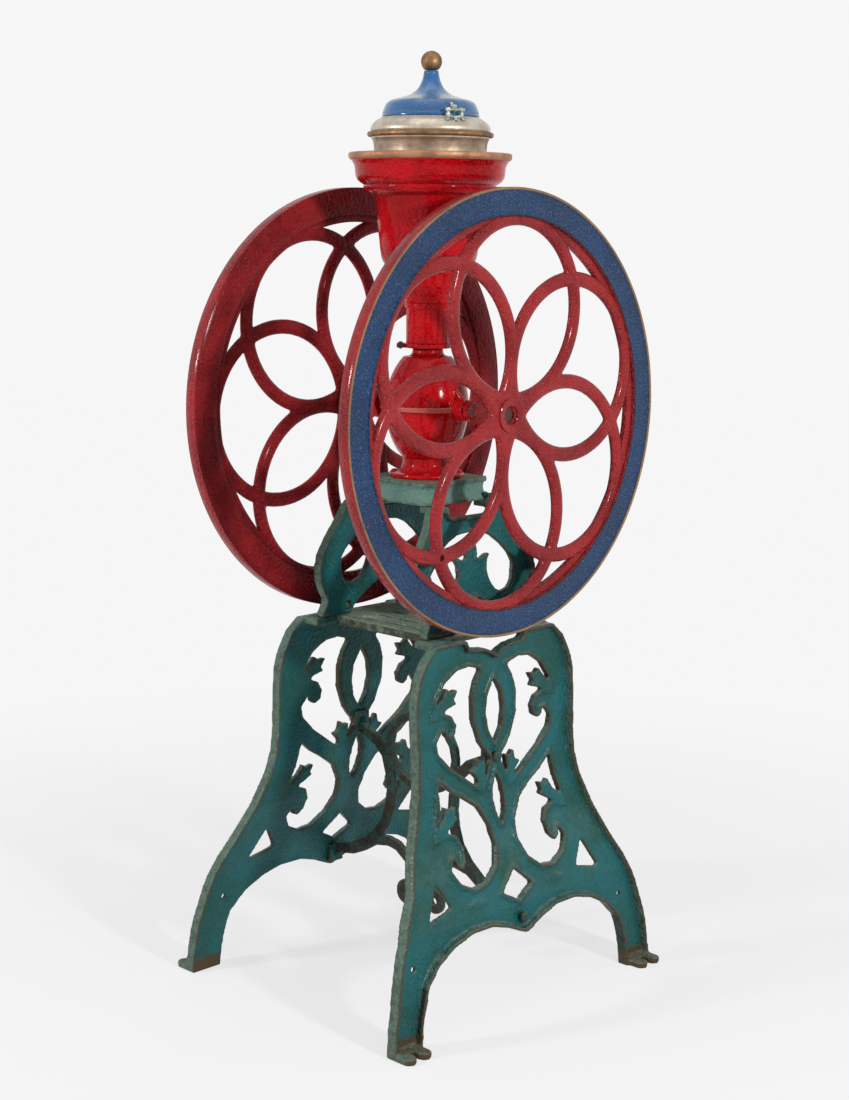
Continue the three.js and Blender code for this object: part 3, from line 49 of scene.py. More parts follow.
casting_grain = 0.0026
casting_wear = 16
ease_pulls = (0.5, -0.52)
last_rounds = 5
stand_paint = (0.009, 0.1, 0.108, 1)
stand_shade = (0.009, 0.068, 0.058, 1)
bare_rust = (0.07, 0.048, 0.026, 1)
# Dark brown of grime on the walls of the openings, which is also painted shade there.
grime_and_shade_brown = (0.03, 0.022, 0.012, 1)
# Pale grey-green of dust on top, and also the colour of the painted glints.
glint_and_dust_green = (0.17, 0.21, 0.15, 1)
flange_dust = (0.1, 0.16, 0.12, 1)
varnish_roughness = 0.13
varnish_ior = 1.3
bare_roughness = 0.78
rust_line = 0.034
frame_top = 0.655
flange_line = (
    (0.0, 0.335), (0.12, 0.316), (0.21, 0.283), (0.27, 0.25), (0.33, 0.226), (0.39, 0.207),
    (0.45, 0.2), (0.55, 0.202), (0.6, 0.191), (frame_top, 0.15),
)


def use(piece):
    bpy.ops.object.select_all(action="DESELECT")
    piece.select_set(True)
    bpy.context.view_layer.objects.active = piece


def added(make, **settings):
    """A new simple form, selected alone."""
    bpy.ops.object.select_all(action="DESELECT")
    make(**settings)
    return bpy.context.active_object


def apply_modifier(piece, kind, **settings):
    use(piece)
    step = piece.modifiers.new(kind.lower(), kind)
    for name, value in settings.items():
        setattr(step, name, value)
    bpy.ops.object.modifier_apply(modifier=step.name)


def cast_copy(node, name, grain, wear):
    """A casting with the solid's own form, its skin remade in faces of one grain.

    Each turn of easing pulls back about as far as it gave, so that little shrinks.
    """
    casting = bpy.data.objects.new(name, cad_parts[node].data.copy())
    casting.data.materials.clear()
    bpy.context.scene.collection.objects.link(casting)
    apply_modifier(casting, "REMESH", mode="VOXEL", voxel_size=grain)
    for pull in ease_pulls * wear:
        casting.modifiers.new("ease", "SMOOTH").factor = pull
    bpy.ops.object.convert(target="MESH")
    apply_modifier(casting, "SMOOTH", factor=0.5, iterations=last_rounds)
    bpy.ops.object.shade_smooth()
    return casting


def turned_copy(piece, name, degrees, axis="Z", middle=(0, 0, 0)):
    """The same piece again, with its own mesh, turned about an axis through a point."""
    twin = piece.copy()
    twin.data = piece.data.copy()
    twin.name = name
    bpy.context.scene.collection.objects.link(twin)
    place = Matrix.Translation(middle)
    turn = Matrix.Rotation(math.radians(degrees), 4, axis)
    twin.data.transform(place @ turn @ place.inverted())
    return twin


def fit(piece, body, slot, *nodes):
    """The piece moves with its body and stands for its solids."""
    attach(piece, body)
    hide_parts(*nodes)


def dress(piece, finish, body, slot, *nodes):
    """A piece of one finish, fitted in its solids' place."""
    piece.data.materials.append(finish)
    fit(piece, body, slot, *nodes)


def node_group(name, inputs, outputs):
    """An empty group of shader nodes with its sockets, for one shared effect."""
    group = bpy.data.node_groups.new(name, "ShaderNodeTree")
    for label, kind, value in inputs:
        socket = group.interface.new_socket(label, in_out="INPUT", socket_type=kind)
        socket.default_value = value
    for label, kind in outputs:
        group.interface.new_socket(label, in_out="OUTPUT", socket_type=kind)
    return group, group.nodes.new("NodeGroupInput"), group.nodes.new("NodeGroupOutput")


def mapped(tree, value, low, high, to_low=0.0, to_high=1.0):
    """A value stretched from one range to another and held inside it."""
    spread = tree.nodes.new("ShaderNodeMapRange")
    spread.interpolation_type = "SMOOTHSTEP"
    spread.inputs["From Min"].default_value = low
    spread.inputs["From Max"].default_value = high
    spread.inputs["To Min"].default_value = to_low
    spread.inputs["To Max"].default_value = to_high
    tree.links.new(value, spread.inputs["Value"])
    return spread.outputs["Result"]


def worked(tree, operation, first, second):
    """Two values, or a value and a number, brought together."""
    node = tree.nodes.new("ShaderNodeMath")
    node.operation = operation
    for socket, value in zip(node.inputs, (first, second)):
        if isinstance(value, (int, float)):
            socket.default_value = value
        else:
            tree.links.new(value, socket)
    return node.outputs["Value"]


def blended(tree, share, first, second):
    """One colour laid over another by a share."""
    node = tree.nodes.new("ShaderNodeMix")
    node.data_type = "RGBA"
    tree.links.new(share, node.inputs["Factor"])
    for socket, value in ((node.inputs[6], first), (node.inputs[7], second)):
        if isinstance(value, tuple):
            socket.default_value = value
        else:
            tree.links.new(value, socket)
    return node.outputs[2]


def noise(tree, place, scale, detail, roughness=0.55):
    """Cloudy grain of one size."""
    node = tree.nodes.new("ShaderNodeTexNoise")
    node.inputs["Scale"].default_value = scale
    node.inputs["Detail"].default_value = detail
    node.inputs["Roughness"].default_value = roughness
    tree.links.new(place, node.inputs["Vector"])
    return node.outputs["Fac"]


def own_place(tree):
    """Where a point lies on its piece, which the patterns follow."""
    return tree.nodes.new("ShaderNodeTexCoord").outputs["Object"]


def parts_of(tree, vector):
    """The X, Y and Z of a place or a direction."""
    split = tree.nodes.new("ShaderNodeSeparateXYZ")
    tree.links.new(vector, split.inputs["Vector"])
    return split.outputs


def new_finish(name):
    """A new material, with its node tree and its surface."""
    material = bpy.data.materials.new(name)
    material.use_nodes = True
    tree = material.node_tree
    return material, tree, tree.nodes["Principled BSDF"]


def embossed(tree, surface, height, relief):
    """The surface given a relief of that depth."""
    bump = tree.nodes.new("ShaderNodeBump")
    bump.inputs["Distance"].default_value = relief
    tree.links.new(height, bump.inputs["Height"])
    tree.links.new(bump.outputs["Normal"], surface.inputs["Normal"])


def make_sand_skin():
    """The relief of a sand casting under paint: broad ripples, pebbles and pits."""
    group, into, out = node_group(
        "sand skin",
        [("Pebbles", "NodeSocketFloat", 1.0), ("Pits", "NodeSocketFloat", 0.4)],
        [("Height", "NodeSocketFloat")],
    )
    place = own_place(group)
    ripple = noise(group, place, 38.0, 3.0)
    pebble = mapped(group, noise(group, place, 165.0, 0.8, 0.4), 0.3, 0.7)
    grit = noise(group, place, 420.0, 2.0)
    cells = group.nodes.new("ShaderNodeTexVoronoi")
    cells.inputs["Scale"].default_value = 120.0
    group.links.new(place, cells.inputs["Vector"])
    pit = mapped(group, cells.outputs["Distance"], 0.0, 0.22, -1.0, 0.0)
    raised = worked(group, "MULTIPLY", pebble, into.outputs["Pebbles"])
    pitted = worked(group, "MULTIPLY", pit, into.outputs["Pits"])
    height = worked(group, "ADD", raised, pitted)
    height = worked(group, "ADD", height, ripple)
    height = worked(group, "ADD", height, worked(group, "MULTIPLY", grit, 0.1))
    group.links.new(height, out.inputs["Height"])
    return group


def make_old_paint():
    """Old paint: two tones, rubbed to the metal on edges, dusty on top, with grime, painted
    shade and painted glints.
    """
    group, into, out = node_group(
        "old paint",
        [
            ("Paint", "NodeSocketColor", stand_paint),
            ("Shade", "NodeSocketColor", stand_shade),
            ("Under", "NodeSocketColor", bare_rust),
            ("Dust and glint", "NodeSocketColor", glint_and_dust_green),
            ("Wear", "NodeSocketFloat", 0.6),
            ("Dusting", "NodeSocketFloat", 0.5),
            ("Grime and shade", "NodeSocketFloat", 0.0),
            ("Painted glints", "NodeSocketFloat", 0.3),
            ("Foot rust", "NodeSocketFloat", 0.0),
            ("Rust line", "NodeSocketFloat", rust_line),
        ],
        [("Color", "NodeSocketColor"), ("Worn", "NodeSocketFloat")],
    )
    place = own_place(group)
    shape = group.nodes.new("ShaderNodeNewGeometry")
    facing = parts_of(group, shape.outputs["Normal"])

    cloud = noise(group, place, 11.0, 5.0, 0.6)
    patch = noise(group, place, 62.0, 9.0, 0.68)
    speck = noise(group, place, 340.0, 4.0, 0.7)
    two_tone = blended(
        group, mapped(group, cloud, 0.36, 0.66), into.outputs["Paint"], into.outputs["Shade"]
    )

    edge = mapped(group, shape.outputs["Pointiness"], 0.498, 0.552)
    rubbed = worked(group, "ADD", worked(group, "MULTIPLY", edge, 0.5), patch)
    rubbed = worked(group, "ADD", rubbed, worked(group, "MULTIPLY", speck, 0.22))
    rubbed = worked(group, "MULTIPLY", rubbed, into.outputs["Wear"])
    chipped = mapped(group, rubbed, 0.5, 0.72, 0.0, 0.85)
    damp = worked(group, "DIVIDE", parts_of(group, place)["Z"], into.outputs["Rust line"])
    damp = worked(group, "SUBTRACT", 1.2, damp)
    damp = worked(group, "MULTIPLY", damp, into.outputs["Foot rust"])
    footed = mapped(group, worked(group, "ADD", damp, patch), 0.72, 1.15)
    worn = worked(group, "MAXIMUM", chipped, footed)

    # Hollows, where the surface curves in, are darkened: painted shade.
    hollow_shade = mapped(group, shape.outputs["Pointiness"], 0.44, 0.5, 0.42, 1.0)
    hollow_shaded = group.nodes.new("ShaderNodeMix")
    hollow_shaded.data_type = "RGBA"
    hollow_shaded.blend_type = "MULTIPLY"
    hollow_shaded.inputs["Factor"].default_value = 1.0
    group.links.new(two_tone, hollow_shaded.inputs[6])
    group.links.new(hollow_shade, hollow_shaded.inputs[7])

    # Walls that face neither along X nor upwards, such as the sides of the openings, go dark
    # brown: grime, and painted shade in these recesses.
    up = mapped(group, facing["Z"], 0.15, 0.95)
    wall = mapped(group, worked(group, "ABSOLUTE", facing["X"], 0.0), 0.25, 0.75, 1.0, 0.0)
    wall = worked(group, "SUBTRACT", wall, up)
    walls_grimed_and_shaded = worked(group, "MULTIPLY", wall, mapped(group, patch, 0.36, 0.56, 0.4, 1.0))
    walls_grimed_and_shaded = worked(group, "MAXIMUM", walls_grimed_and_shaded, 0.0)
    walls_grimed_and_shaded = worked(group, "MULTIPLY", walls_grimed_and_shaded, into.outputs["Grime and shade"])
    shaded_and_grimed = blended(group, walls_grimed_and_shaded, hollow_shaded.outputs[2], grime_and_shade_brown)
    # Fine specks of the dust colour over the paint are painted glints of light on its pebbles.
    painted_glint = worked(group, "MULTIPLY", mapped(group, speck, 0.54, 0.68), into.outputs["Painted glints"])
    shaded_and_grimed = blended(group, painted_glint, shaded_and_grimed, into.outputs["Dust and glint"])
    settled = worked(group, "MULTIPLY", up, mapped(group, patch, 0.3, 0.62))
    settled = worked(group, "MULTIPLY", settled, into.outputs["Dusting"])
    coloured = blended(group, worn, shaded_and_grimed, into.outputs["Under"])
    coloured = blended(group, settled, coloured, into.outputs["Dust and glint"])
    group.links.new(coloured, out.inputs["Color"])
    group.links.new(worn, out.inputs["Worn"])
    return group


sand_skin = make_sand_skin()
old_paint = make_old_paint()


def painted_iron(
    name, paint, shade, under=bare_rust, dust_and_glint=glint_and_dust_green, wear=0.6, dusting=0.5,
    foot_rust=0.0, grime_and_shade=0.0, painted_glints=0.3, pebbles=1.0, pits=0.4, relief=0.0011,
    gloss=0.35, coat=0.1, shine=0.12,
):
    """Painted cast iron, from the shared relief and the shared old paint."""
    material, tree, surface = new_finish(name)
    surface.inputs["Coat Weight"].default_value = coat
    surface.inputs["Coat Roughness"].default_value = varnish_roughness
    surface.inputs["Coat IOR"].default_value = varnish_ior
    surface.inputs["Specular IOR Level"].default_value = shine
    paint_node = tree.nodes.new("ShaderNodeGroup")
    paint_node.node_tree = old_paint
    for label, value in (
        ("Paint", paint), ("Shade", shade), ("Under", under), ("Dust and glint", dust_and_glint), ("Wear", wear),
        ("Dusting", dusting), ("Grime and shade", grime_and_shade), ("Painted glints", painted_glints),
        ("Foot rust", foot_rust), ("Rust line", rust_line),
    ):
        paint_node.inputs[label].default_value = value
    tree.links.new(paint_node.outputs["Color"], surface.inputs["Base Color"])
    rough = mapped(tree, paint_node.outputs["Worn"], 0.0, 1.0, gloss, bare_roughness)
    smear = noise(tree, own_place(tree), 26.0, 5.0, 0.6)
    smear = mapped(tree, smear, 0.3, 0.7, -0.06, 0.14)
    tree.links.new(worked(tree, "ADD", rough, smear), surface.inputs["Roughness"])
    skin_node = tree.nodes.new("ShaderNodeGroup")
    skin_node.node_tree = sand_skin
    skin_node.inputs["Pebbles"].default_value = pebbles
    skin_node.inputs["Pits"].default_value = pits
    flaked = worked(tree, "MULTIPLY", paint_node.outputs["Worn"], -0.35)
    height = worked(tree, "ADD", skin_node.outputs["Height"], flaked)
    embossed(tree, surface, height, relief)
    return material


stand_green = painted_iron(
    "stand green", stand_paint, stand_shade, wear=0.66, dusting=0.6, foot_rust=1.0, grime_and_shade=1.0,
    painted_glints=0.2, gloss=0.36, coat=0.2,
)


def dust_flange(material, top, line):
    """Dust and rubbed paint on the broad outer edge, which follows the frame's outline."""
    tree = material.node_tree
    colour = tree.nodes["Principled BSDF"].inputs["Base Color"]
    under = colour.links[0].from_socket
    place = own_place(tree)
    at = parts_of(tree, place)
    facing = parts_of(tree, tree.nodes.new("ShaderNodeNewGeometry").outputs["Normal"])
    outline = tree.nodes.new("ShaderNodeFloatCurve")
    points = outline.mapping.curves[0].points
    points[0].location, points[1].location = (0, line[0][1]), (1, line[-1][1])
    for height, reach in line[1:-1]:
        points.new(height / top, reach)
    outline.mapping.update()
    tree.links.new(worked(tree, "DIVIDE", at["Z"], top), outline.inputs["Value"])
    width = worked(tree, "ABSOLUTE", at["Y"], 0.0)
    past = worked(tree, "SUBTRACT", width, outline.outputs["Value"])
    flank = mapped(tree, worked(tree, "ABSOLUTE", facing["X"], 0.0), 0.1, 0.7, 1.0, 0.0)
    share = worked(tree, "MULTIPLY", mapped(tree, past, -0.018, -0.01), flank)
    grain = mapped(tree, noise(tree, place, 90.0, 8.0, 0.7), 0.36, 0.6, 0.35, 0.95)
    share = worked(tree, "MULTIPLY", share, grain)
    tree.links.new(blended(tree, share, under, flange_dust), colour)


dust_flange(stand_green, frame_top, flange_line)
end_frame = cast_copy("end_frame_near", "frame_casting_near", casting_grain, casting_wear)
# The new skin may reach a hair below the feet, which stand on the floor.
for corner in end_frame.data.vertices:
    corner.co.z = max(corner.co.z, 0.0)
far_frame = turned_copy(end_frame, "frame_casting_far", 180)
dress(far_frame, stand_green, "stand", "stand_green", "end_frame_far")
dress(end_frame, stand_green, "stand", "stand_green", "end_frame_near")


# Cross brace: one casting of bow-shaped bands, an oval and two hanging volutes. Its four
# lugs stand against the end frames, and a bolt with a domed head holds each from outside.

brace_grain = 0.002
bolt_rust = (0.07, 0.045, 0.026, 1)
bolt_sides = 48
bolt_ease = 0.0006

brace = cast_copy("cross_brace", "brace_casting", brace_grain, casting_wear)
dress(brace, stand_green, "stand", "stand_green", "cross_brace")

bolt_iron = painted_iron(
    "bolt iron", (0.014, 0.08, 0.078, 1), (0.016, 0.05, 0.045, 1), under=bolt_rust, wear=0.62,
    dusting=0.3, relief=0.0008, gloss=0.5,
)


def spun(name, profile, sides=112, axis="Z", middle=(0, 0, 0)):
    """A turned piece: its profile drawn point by point, then spun about the axis."""
    piece = added(bpy.ops.mesh.primitive_circle_add, vertices=3, radius=0.01)
    piece.name = name
    bpy.ops.object.mode_set(mode="EDIT")
    bpy.ops.mesh.select_all(action="SELECT")
    bpy.ops.mesh.merge(type="CENTER")
    here = Vector((0, 0, 0))
    for count, (radius, along) in enumerate(profile):
        there = Vector((radius, 0, along))
        if count:
            bpy.ops.mesh.extrude_region_move(TRANSFORM_OT_translate={"value": there - here})
        else:
            bpy.ops.transform.translate(value=there - here)
        here = there
    bpy.ops.mesh.select_all(action="SELECT")
    bpy.ops.mesh.spin(steps=sides, angle=math.tau, center=(0, 0, 0), axis=(0, 0, 1))
    bpy.ops.mesh.select_all(action="SELECT")
    bpy.ops.mesh.remove_doubles(threshold=0.00001)
    bpy.ops.mesh.normals_make_consistent(inside=False)
    bpy.ops.object.mode_set(mode="OBJECT")
    if axis == "X":
        piece.data.transform(Matrix.Rotation(math.pi / 2, 4, "Y"))
    if axis == "Y":
        piece.data.transform(Matrix.Rotation(-math.pi / 2, 4, "X"))
    piece.data.transform(Matrix.Translation(middle))
    return piece


def shaded(piece, crease=50):
    """Faces that meet at less than the crease are shaded as one surface."""
    use(piece)
    bpy.ops.object.shade_smooth_by_angle(angle=math.radians(crease))
    return piece


def eased(piece, width, segments=3, angle=30):
    """Sharp edges taken off, and the faces shaded as one surface."""
    apply_modifier(
        piece, "BEVEL", width=width, segments=segments, limit_method="ANGLE",
        angle_limit=math.radians(angle), harden_normals=False,
    )
    return shaded(piece, crease=40)


def bolt_profile(radius, height, shank_share=0.5, seat_share=0.8):
    """Half outline of a bolt with a domed head, as (radius, height)."""
    shank, seat = radius * shank_share, height * seat_share
    dome = [
        (radius * math.cos(lift), seat + (height - seat) * (0.35 + 0.65 * math.sin(lift)))
        for lift in [step * math.pi / 12 for step in range(7)]
    ]
    return [(0, 0), (shank, 0), (shank, seat), (radius, seat), *dome]


def box_facts(node):
    """The low corner, the high corner and the middle of a solid."""
    low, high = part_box(node)
    return low, high, (low + high) / 2


def stood_out(name, node, profile, ease):
    """A small turned piece that stands out along X, away from the mill's middle."""
    low, high, middle = box_facts(node)
    piece = spun(name, profile((high.z - low.z) / 2, high.x - low.x), bolt_sides, "X")
    eased(piece, ease)
    if middle.x < 0:
        piece.data.transform(Matrix.Rotation(math.pi, 4, "Z"))
    seat = low.x if middle.x > 0 else high.x
    piece.data.transform(Matrix.Translation((seat, middle.y, middle.z)))
    dress(piece, bolt_iron, "stand", "stand_green", node)


def foot_bolts(owner, finish, slot, ease, across, shank_share, seat_share):
    """Four upright bolts on a casting's feet, as wide as their solids are across one axis."""
    for number in range(1, 5):
        node = f"{owner}_foot_bolt_{number}"
        low, high, middle = box_facts(node)
        radius = (getattr(high, across) - getattr(low, across)) / 2
        profile = bolt_profile(radius, high.z - low.z, shank_share, seat_share)
        place = (middle.x, middle.y, low.z)
        bolt = spun(f"{owner}_bolt_head_{number}", profile, bolt_sides, middle=place)
        eased(bolt, ease)
        dress(bolt, finish, "stand", slot, node)


for level in ("upper", "lower"):
    for end in ("near", "far"):
        name, node = f"brace_bolt_head_{level}_{end}", f"brace_bolt_{level}_{end}"
        stood_out(name, node, bolt_profile, bolt_ease)


# Shelf between the frames: a thin cast grille with rows of slots and a lip along each side,
# laid on the frame tops. Dust and old grease lie on it.

shelf_grain = 0.0018
shelf_wear = 3
shelf_green = painted_iron(
    "shelf green", (0.2, 0.27, 0.2, 1), (0.1, 0.17, 0.13, 1), under=(0.09, 0.06, 0.035, 1),
    dust_and_glint=(0.32, 0.38, 0.29, 1), dusting=0.7, grime_and_shade=0.9, gloss=0.5,
)
shelf = cast_copy("shelf_grille", "shelf_casting", shelf_grain, shelf_wear)
dress(shelf, shelf_green, "stand", "stand_green", "shelf_grille")


# Yoke plates: two pierced cheeks with a tulip in the window, cast and painted as the stand.
# Each stands on the shelf on a pad at either foot, held by a round-headed bolt.

yoke_grain = 0.002
yoke = cast_copy("yoke_plate_near", "yoke_casting_near", yoke_grain, casting_wear)
far_yoke = turned_copy(yoke, "yoke_casting_far", 180)
dress(far_yoke, stand_green, "stand", "stand_green", "yoke_plate_far")
dress(yoke, stand_green, "stand", "stand_green", "yoke_plate_near")

foot_bolts("yoke", bolt_iron, "stand_green", bolt_ease, "x", shank_share=0.42, seat_share=0.66)


# Pedestal block on the yokes: a square casting with cut corners, a lip at the foot, a
# hollow moulding and a lip at the top. Small turned knobs close its four corners.

block_green = painted_iron(
    "block green", (0.12, 0.22, 0.185, 1), (0.06, 0.15, 0.125, 1), wear=0.62, gloss=0.42
)
block_low, block_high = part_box("pedestal_block")
block_stations = (
    (0.0, 1.0), (0.14, 1.0), (0.2, 0.965), (0.34, 0.925), (0.55, 0.905), (0.72, 0.912),
    (0.8, 0.93), (0.84, 0.962), (1.0, 0.962),
)
corner_cut = 0.015
block_ease = 0.0012
small_ease = 0.0004
knob_line = (
    (0, 0), (0.5, 0), (0.5, 0.48), (1, 0.5), (0.98, 0.58), (0.66, 0.7), (0.7, 0.78),
    (0.84, 0.88), (0.7, 0.97), (0, 1),
)

block_foot = (0, 0, block_low.z)
block = added(bpy.ops.mesh.primitive_plane_add, size=2 * block_high.x, location=block_foot)
block.name = "block_casting"
bpy.ops.object.transform_apply(location=True, rotation=True, scale=True)
bpy.ops.object.mode_set(mode="EDIT")
bpy.ops.mesh.select_all(action="SELECT")
bpy.ops.mesh.bevel(offset=corner_cut, segments=1, affect="VERTICES")
bpy.ops.mesh.select_all(action="SELECT")
block_height = block_high.z - block_low.z
for (below, wide), (above, next_wide) in zip(block_stations, block_stations[1:]):
    rise = (above - below) * block_height
    bpy.ops.mesh.extrude_region_move(TRANSFORM_OT_translate={"value": (0, 0, rise)})
    share = next_wide / wide
    bpy.ops.transform.resize(value=(share, share, 1), center_override=(0, 0, 0))
bpy.ops.mesh.select_all(action="SELECT")
bpy.ops.mesh.normals_make_consistent(inside=False)
bpy.ops.object.mode_set(mode="OBJECT")
eased(block, block_ease, angle=20)
dress(block, block_green, "stand", "stand_green", "pedestal_block")


def knob_profile(radius, reach):
    """Half outline of a corner knob, as (radius, height)."""
    return [(radius * across, reach * along) for across, along in knob_line]


for number in range(1, 5):
    stood_out(f"knob_turning_{number}", f"block_knob_{number}", knob_profile, small_ease)


# Grinding case: an egg-shaped iron casting on a round foot, painted a glossy red. The
# shaft runs through a boss on each side, a rib holds up the near boss, and a narrow
# flange at the height of the shaft shows where the upper half lifts off.

shaft_height = 1.0355
case_red_paint = (0.5, 0.0025, 0.006, 1)
case_red_shade = (0.29, 0.0015, 0.004, 1)
case_grain = 0.0018
case_rounds = 4
egg_across = 0.0734
egg_up = 0.1085
egg_neck = 0.042
egg_steps = 30
boss_sides = 64
boss_start = 0.03
boss_end = 0.1
rib_place = (0.074, 0, shaft_height + 0.031)
rib_size = (0.04, 0.008, 0.032)
rib_tip = shaft_height + 0.0165
flange_half = 0.0042
flange_radius = 0.0814
seam_half = 0.0004
case_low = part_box("case_lower")[0].z
case_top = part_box("case_upper")[1].z

case_red = painted_iron(
    "case red", case_red_paint, case_red_shade, under=(0.07, 0.01, 0.008, 1),
    dust_and_glint=(0.24, 0.04, 0.035, 1), wear=0.34, dusting=0.06, painted_glints=0.1, relief=0.0024,
    gloss=0.18, coat=0.6, shine=0.02,
)


def cast_as_one(first, others, grain, rounds):
    """Pieces run together under one skin, as they are in the real casting."""
    use(first)
    for other in others:
        other.select_set(True)
    bpy.ops.object.join()
    apply_modifier(first, "REMESH", mode="VOXEL", voxel_size=grain)
    apply_modifier(first, "SMOOTH", factor=0.5, iterations=rounds)
    bpy.ops.object.shade_smooth()
    return first


egg_from = -math.acos(egg_neck / egg_across)
egg = []
for step in range(egg_steps + 1):
    lift = egg_from * (1 - 2 * step / egg_steps)
    egg.append((egg_across * math.cos(lift), shaft_height + egg_up * math.sin(lift)))
case = spun("case_casting", [
    (0, case_low), (0.066, case_low), (0.066, case_low + 0.0072), (0.055, case_low + 0.009),
    (0.046, case_low + 0.014), (0.0425, case_low + 0.022), *egg, (0.034, case_top - 0.014),
    (0.0285, case_top - 0.011), (0.027, case_top - 0.006), (0.027, case_top), (0, case_top),
])
bosses = []
for name, radius, about in (("near_boss", 0.0186, 0), ("far_boss", 0.0246, 180)):
    boss = spun(name, [
        (0, boss_start), (radius, boss_start), (radius, boss_end - 0.0015),
        (radius - 0.0014, boss_end), (0, boss_end),
    ], boss_sides, "X")
    boss.data.transform(Matrix.Rotation(math.radians(about), 4, "Z"))
    boss.data.transform(Matrix.Translation((0, 0, shaft_height)))
    bosses.append(boss)
rib = added(bpy.ops.mesh.primitive_cube_add, size=1, location=rib_place)
bpy.ops.transform.resize(value=rib_size)
bpy.ops.object.transform_apply(location=True, rotation=True, scale=True)
for corner in rib.data.vertices:
    if corner.co.x > rib_place[0] and corner.co.z > rib_place[2]:
        corner.co.z = rib_tip
cast_as_one(case, [*bosses, rib], case_grain, case_rounds)
dress(case, case_red, "stand", "case_red", "case_lower", "case_upper")

flange = spun("case_flange", [(radius, shaft_height + above) for radius, above in (
    (0.07, -flange_half), (0.079, -flange_half), (flange_radius, -flange_half * 0.6),
    (flange_radius, -seam_half), (0.0802, 0), (flange_radius, seam_half),
    (flange_radius, flange_half * 0.6), (0.079, flange_half), (0.07, flange_half),
    (0.07, -flange_half),
)])
eased(flange, small_ease, segments=2)
# The flange is a paler pink than the case: rubbed paint, and a painted highlight along its
# edge.
flange_red_highlight = painted_iron(
    "flange red highlight", (0.55, 0.1, 0.08, 1), (0.36, 0.03, 0.026, 1), under=(0.12, 0.04, 0.03, 1),
    dust_and_glint=(0.5, 0.22, 0.18, 1), wear=0.4, painted_glints=0.2, relief=0.0006, gloss=0.3, coat=0.4,
    shine=0.1,
)
dress(flange, flange_red_highlight, "stand", "case_red", "case_lower")

foot_bolts("case", case_red, "case_red", small_ease, "y", shank_share=0.5, seat_share=0.78)


# Shaft line: a turned steel shaft with a six-sided collar against the near boss. Behind the
# far boss a threaded sleeve carries the fixed burr, and a lobed nut moves it.

steel_colour = (0.13, 0.105, 0.08, 1)
inner_bronze = (0.4, 0.25, 0.1, 1)
shaft_radius = 0.014
shaft_bore = 0.0143
thread_pitch = 0.002
thread_depth = 0.0009
nut_grain = 0.0008
nut_wear = 6


def worn_metal(name, colour, dull, rough=0.35, relief=0.0002, metal=0.9):
    """Bare metal with tarnish in clouds, fine scratches and a little relief."""
    material, tree, surface = new_finish(name)
    surface.inputs["Metallic"].default_value = metal
    place = own_place(tree)
    shape = tree.nodes.new("ShaderNodeNewGeometry")
    cloud = noise(tree, place, 34.0, 8.0, 0.68)
    fine = noise(tree, place, 420.0, 4.0, 0.6)
    edge = mapped(tree, shape.outputs["Pointiness"], 0.5, 0.58, 0.0, 0.5)
    tarnish = worked(tree, "SUBTRACT", mapped(tree, cloud, 0.38, 0.62), edge)
    tarnish = worked(tree, "MAXIMUM", tarnish, 0.0)
    tree.links.new(blended(tree, tarnish, colour, dull), surface.inputs["Base Color"])
    uneven = worked(tree, "ADD", cloud, worked(tree, "MULTIPLY", fine, 0.3))
    uneven = mapped(tree, uneven, 0.4, 0.9, rough - 0.08, rough + 0.22)
    tree.links.new(uneven, surface.inputs["Roughness"])
    embossed(tree, surface, worked(tree, "ADD", cloud, fine), relief)
    return material


def finish_solid(node, finish):
    """A CAD solid that is shown as it is, in its own finish."""
    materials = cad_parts[node].data.materials
    materials.clear()
    materials.append(finish)


bare_steel = worn_metal("bare steel", steel_colour, (0.05, 0.032, 0.022, 1), rough=0.5)
bush_bronze = worn_metal("bush bronze", inner_bronze, (0.16, 0.09, 0.04, 1))
rusted_steel = worn_metal(
    "rusted steel", (0.07, 0.026, 0.018, 1), (0.014, 0.007, 0.006, 1), rough=0.6,
    relief=0.0018, metal=0.2,
)
shaft_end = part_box("main_shaft")[1].x - 0.005
shaft = spun("shaft_turning", [
    (0, -shaft_end), (0.0125, -shaft_end), (shaft_radius, -shaft_end + 0.0015),
    (shaft_radius, shaft_end - 0.0015), (0.0125, shaft_end), (0, shaft_end),
], boss_sides, "X", (0, 0, shaft_height))
shaded(shaft, crease=40)
dress(shaft, rusted_steel, "drive", "bare_steel", "main_shaft")

collar_low, collar_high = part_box("shaft_collar")
collar = spun("collar_casting", [
    (shaft_bore, collar_low.x), (0.0172, collar_low.x), (0.0172, collar_low.x + 0.0095),
    (0.0152, collar_low.x + 0.0105), (0.0152, collar_high.x), (shaft_bore, collar_high.x),
    (shaft_bore, collar_low.x),
], sides=6, axis="X", middle=(0, 0, shaft_height))
eased(collar, bolt_ease, segments=2)
dress(collar, case_red, "drive", "case_red", "shaft_collar")

sleeve_low, sleeve_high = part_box("adjusting_sleeve")
sleeve_radius = (sleeve_high.z - sleeve_low.z) / 2
thread = []
for turn in range(int((sleeve_high.x - sleeve_low.x) / thread_pitch)):
    start = sleeve_low.x + turn * thread_pitch
    thread += [(sleeve_radius - thread_depth, start), (sleeve_radius, start + thread_pitch / 2)]
sleeve = spun("sleeve_turning", [
    (shaft_bore, sleeve_low.x), *thread, (sleeve_radius, sleeve_high.x),
    (shaft_bore, sleeve_high.x), (shaft_bore, sleeve_low.x),
], boss_sides, "X", (0, 0, shaft_height))
shaded(sleeve, crease=40)
dress(sleeve, bare_steel, "burr_sleeve", "bare_steel", "adjusting_sleeve")

grind_nut = cast_copy("adjusting_nut", "nut_casting", nut_grain, nut_wear)
dress(grind_nut, case_red, "grind_nut", "case_red", "adjusting_nut")

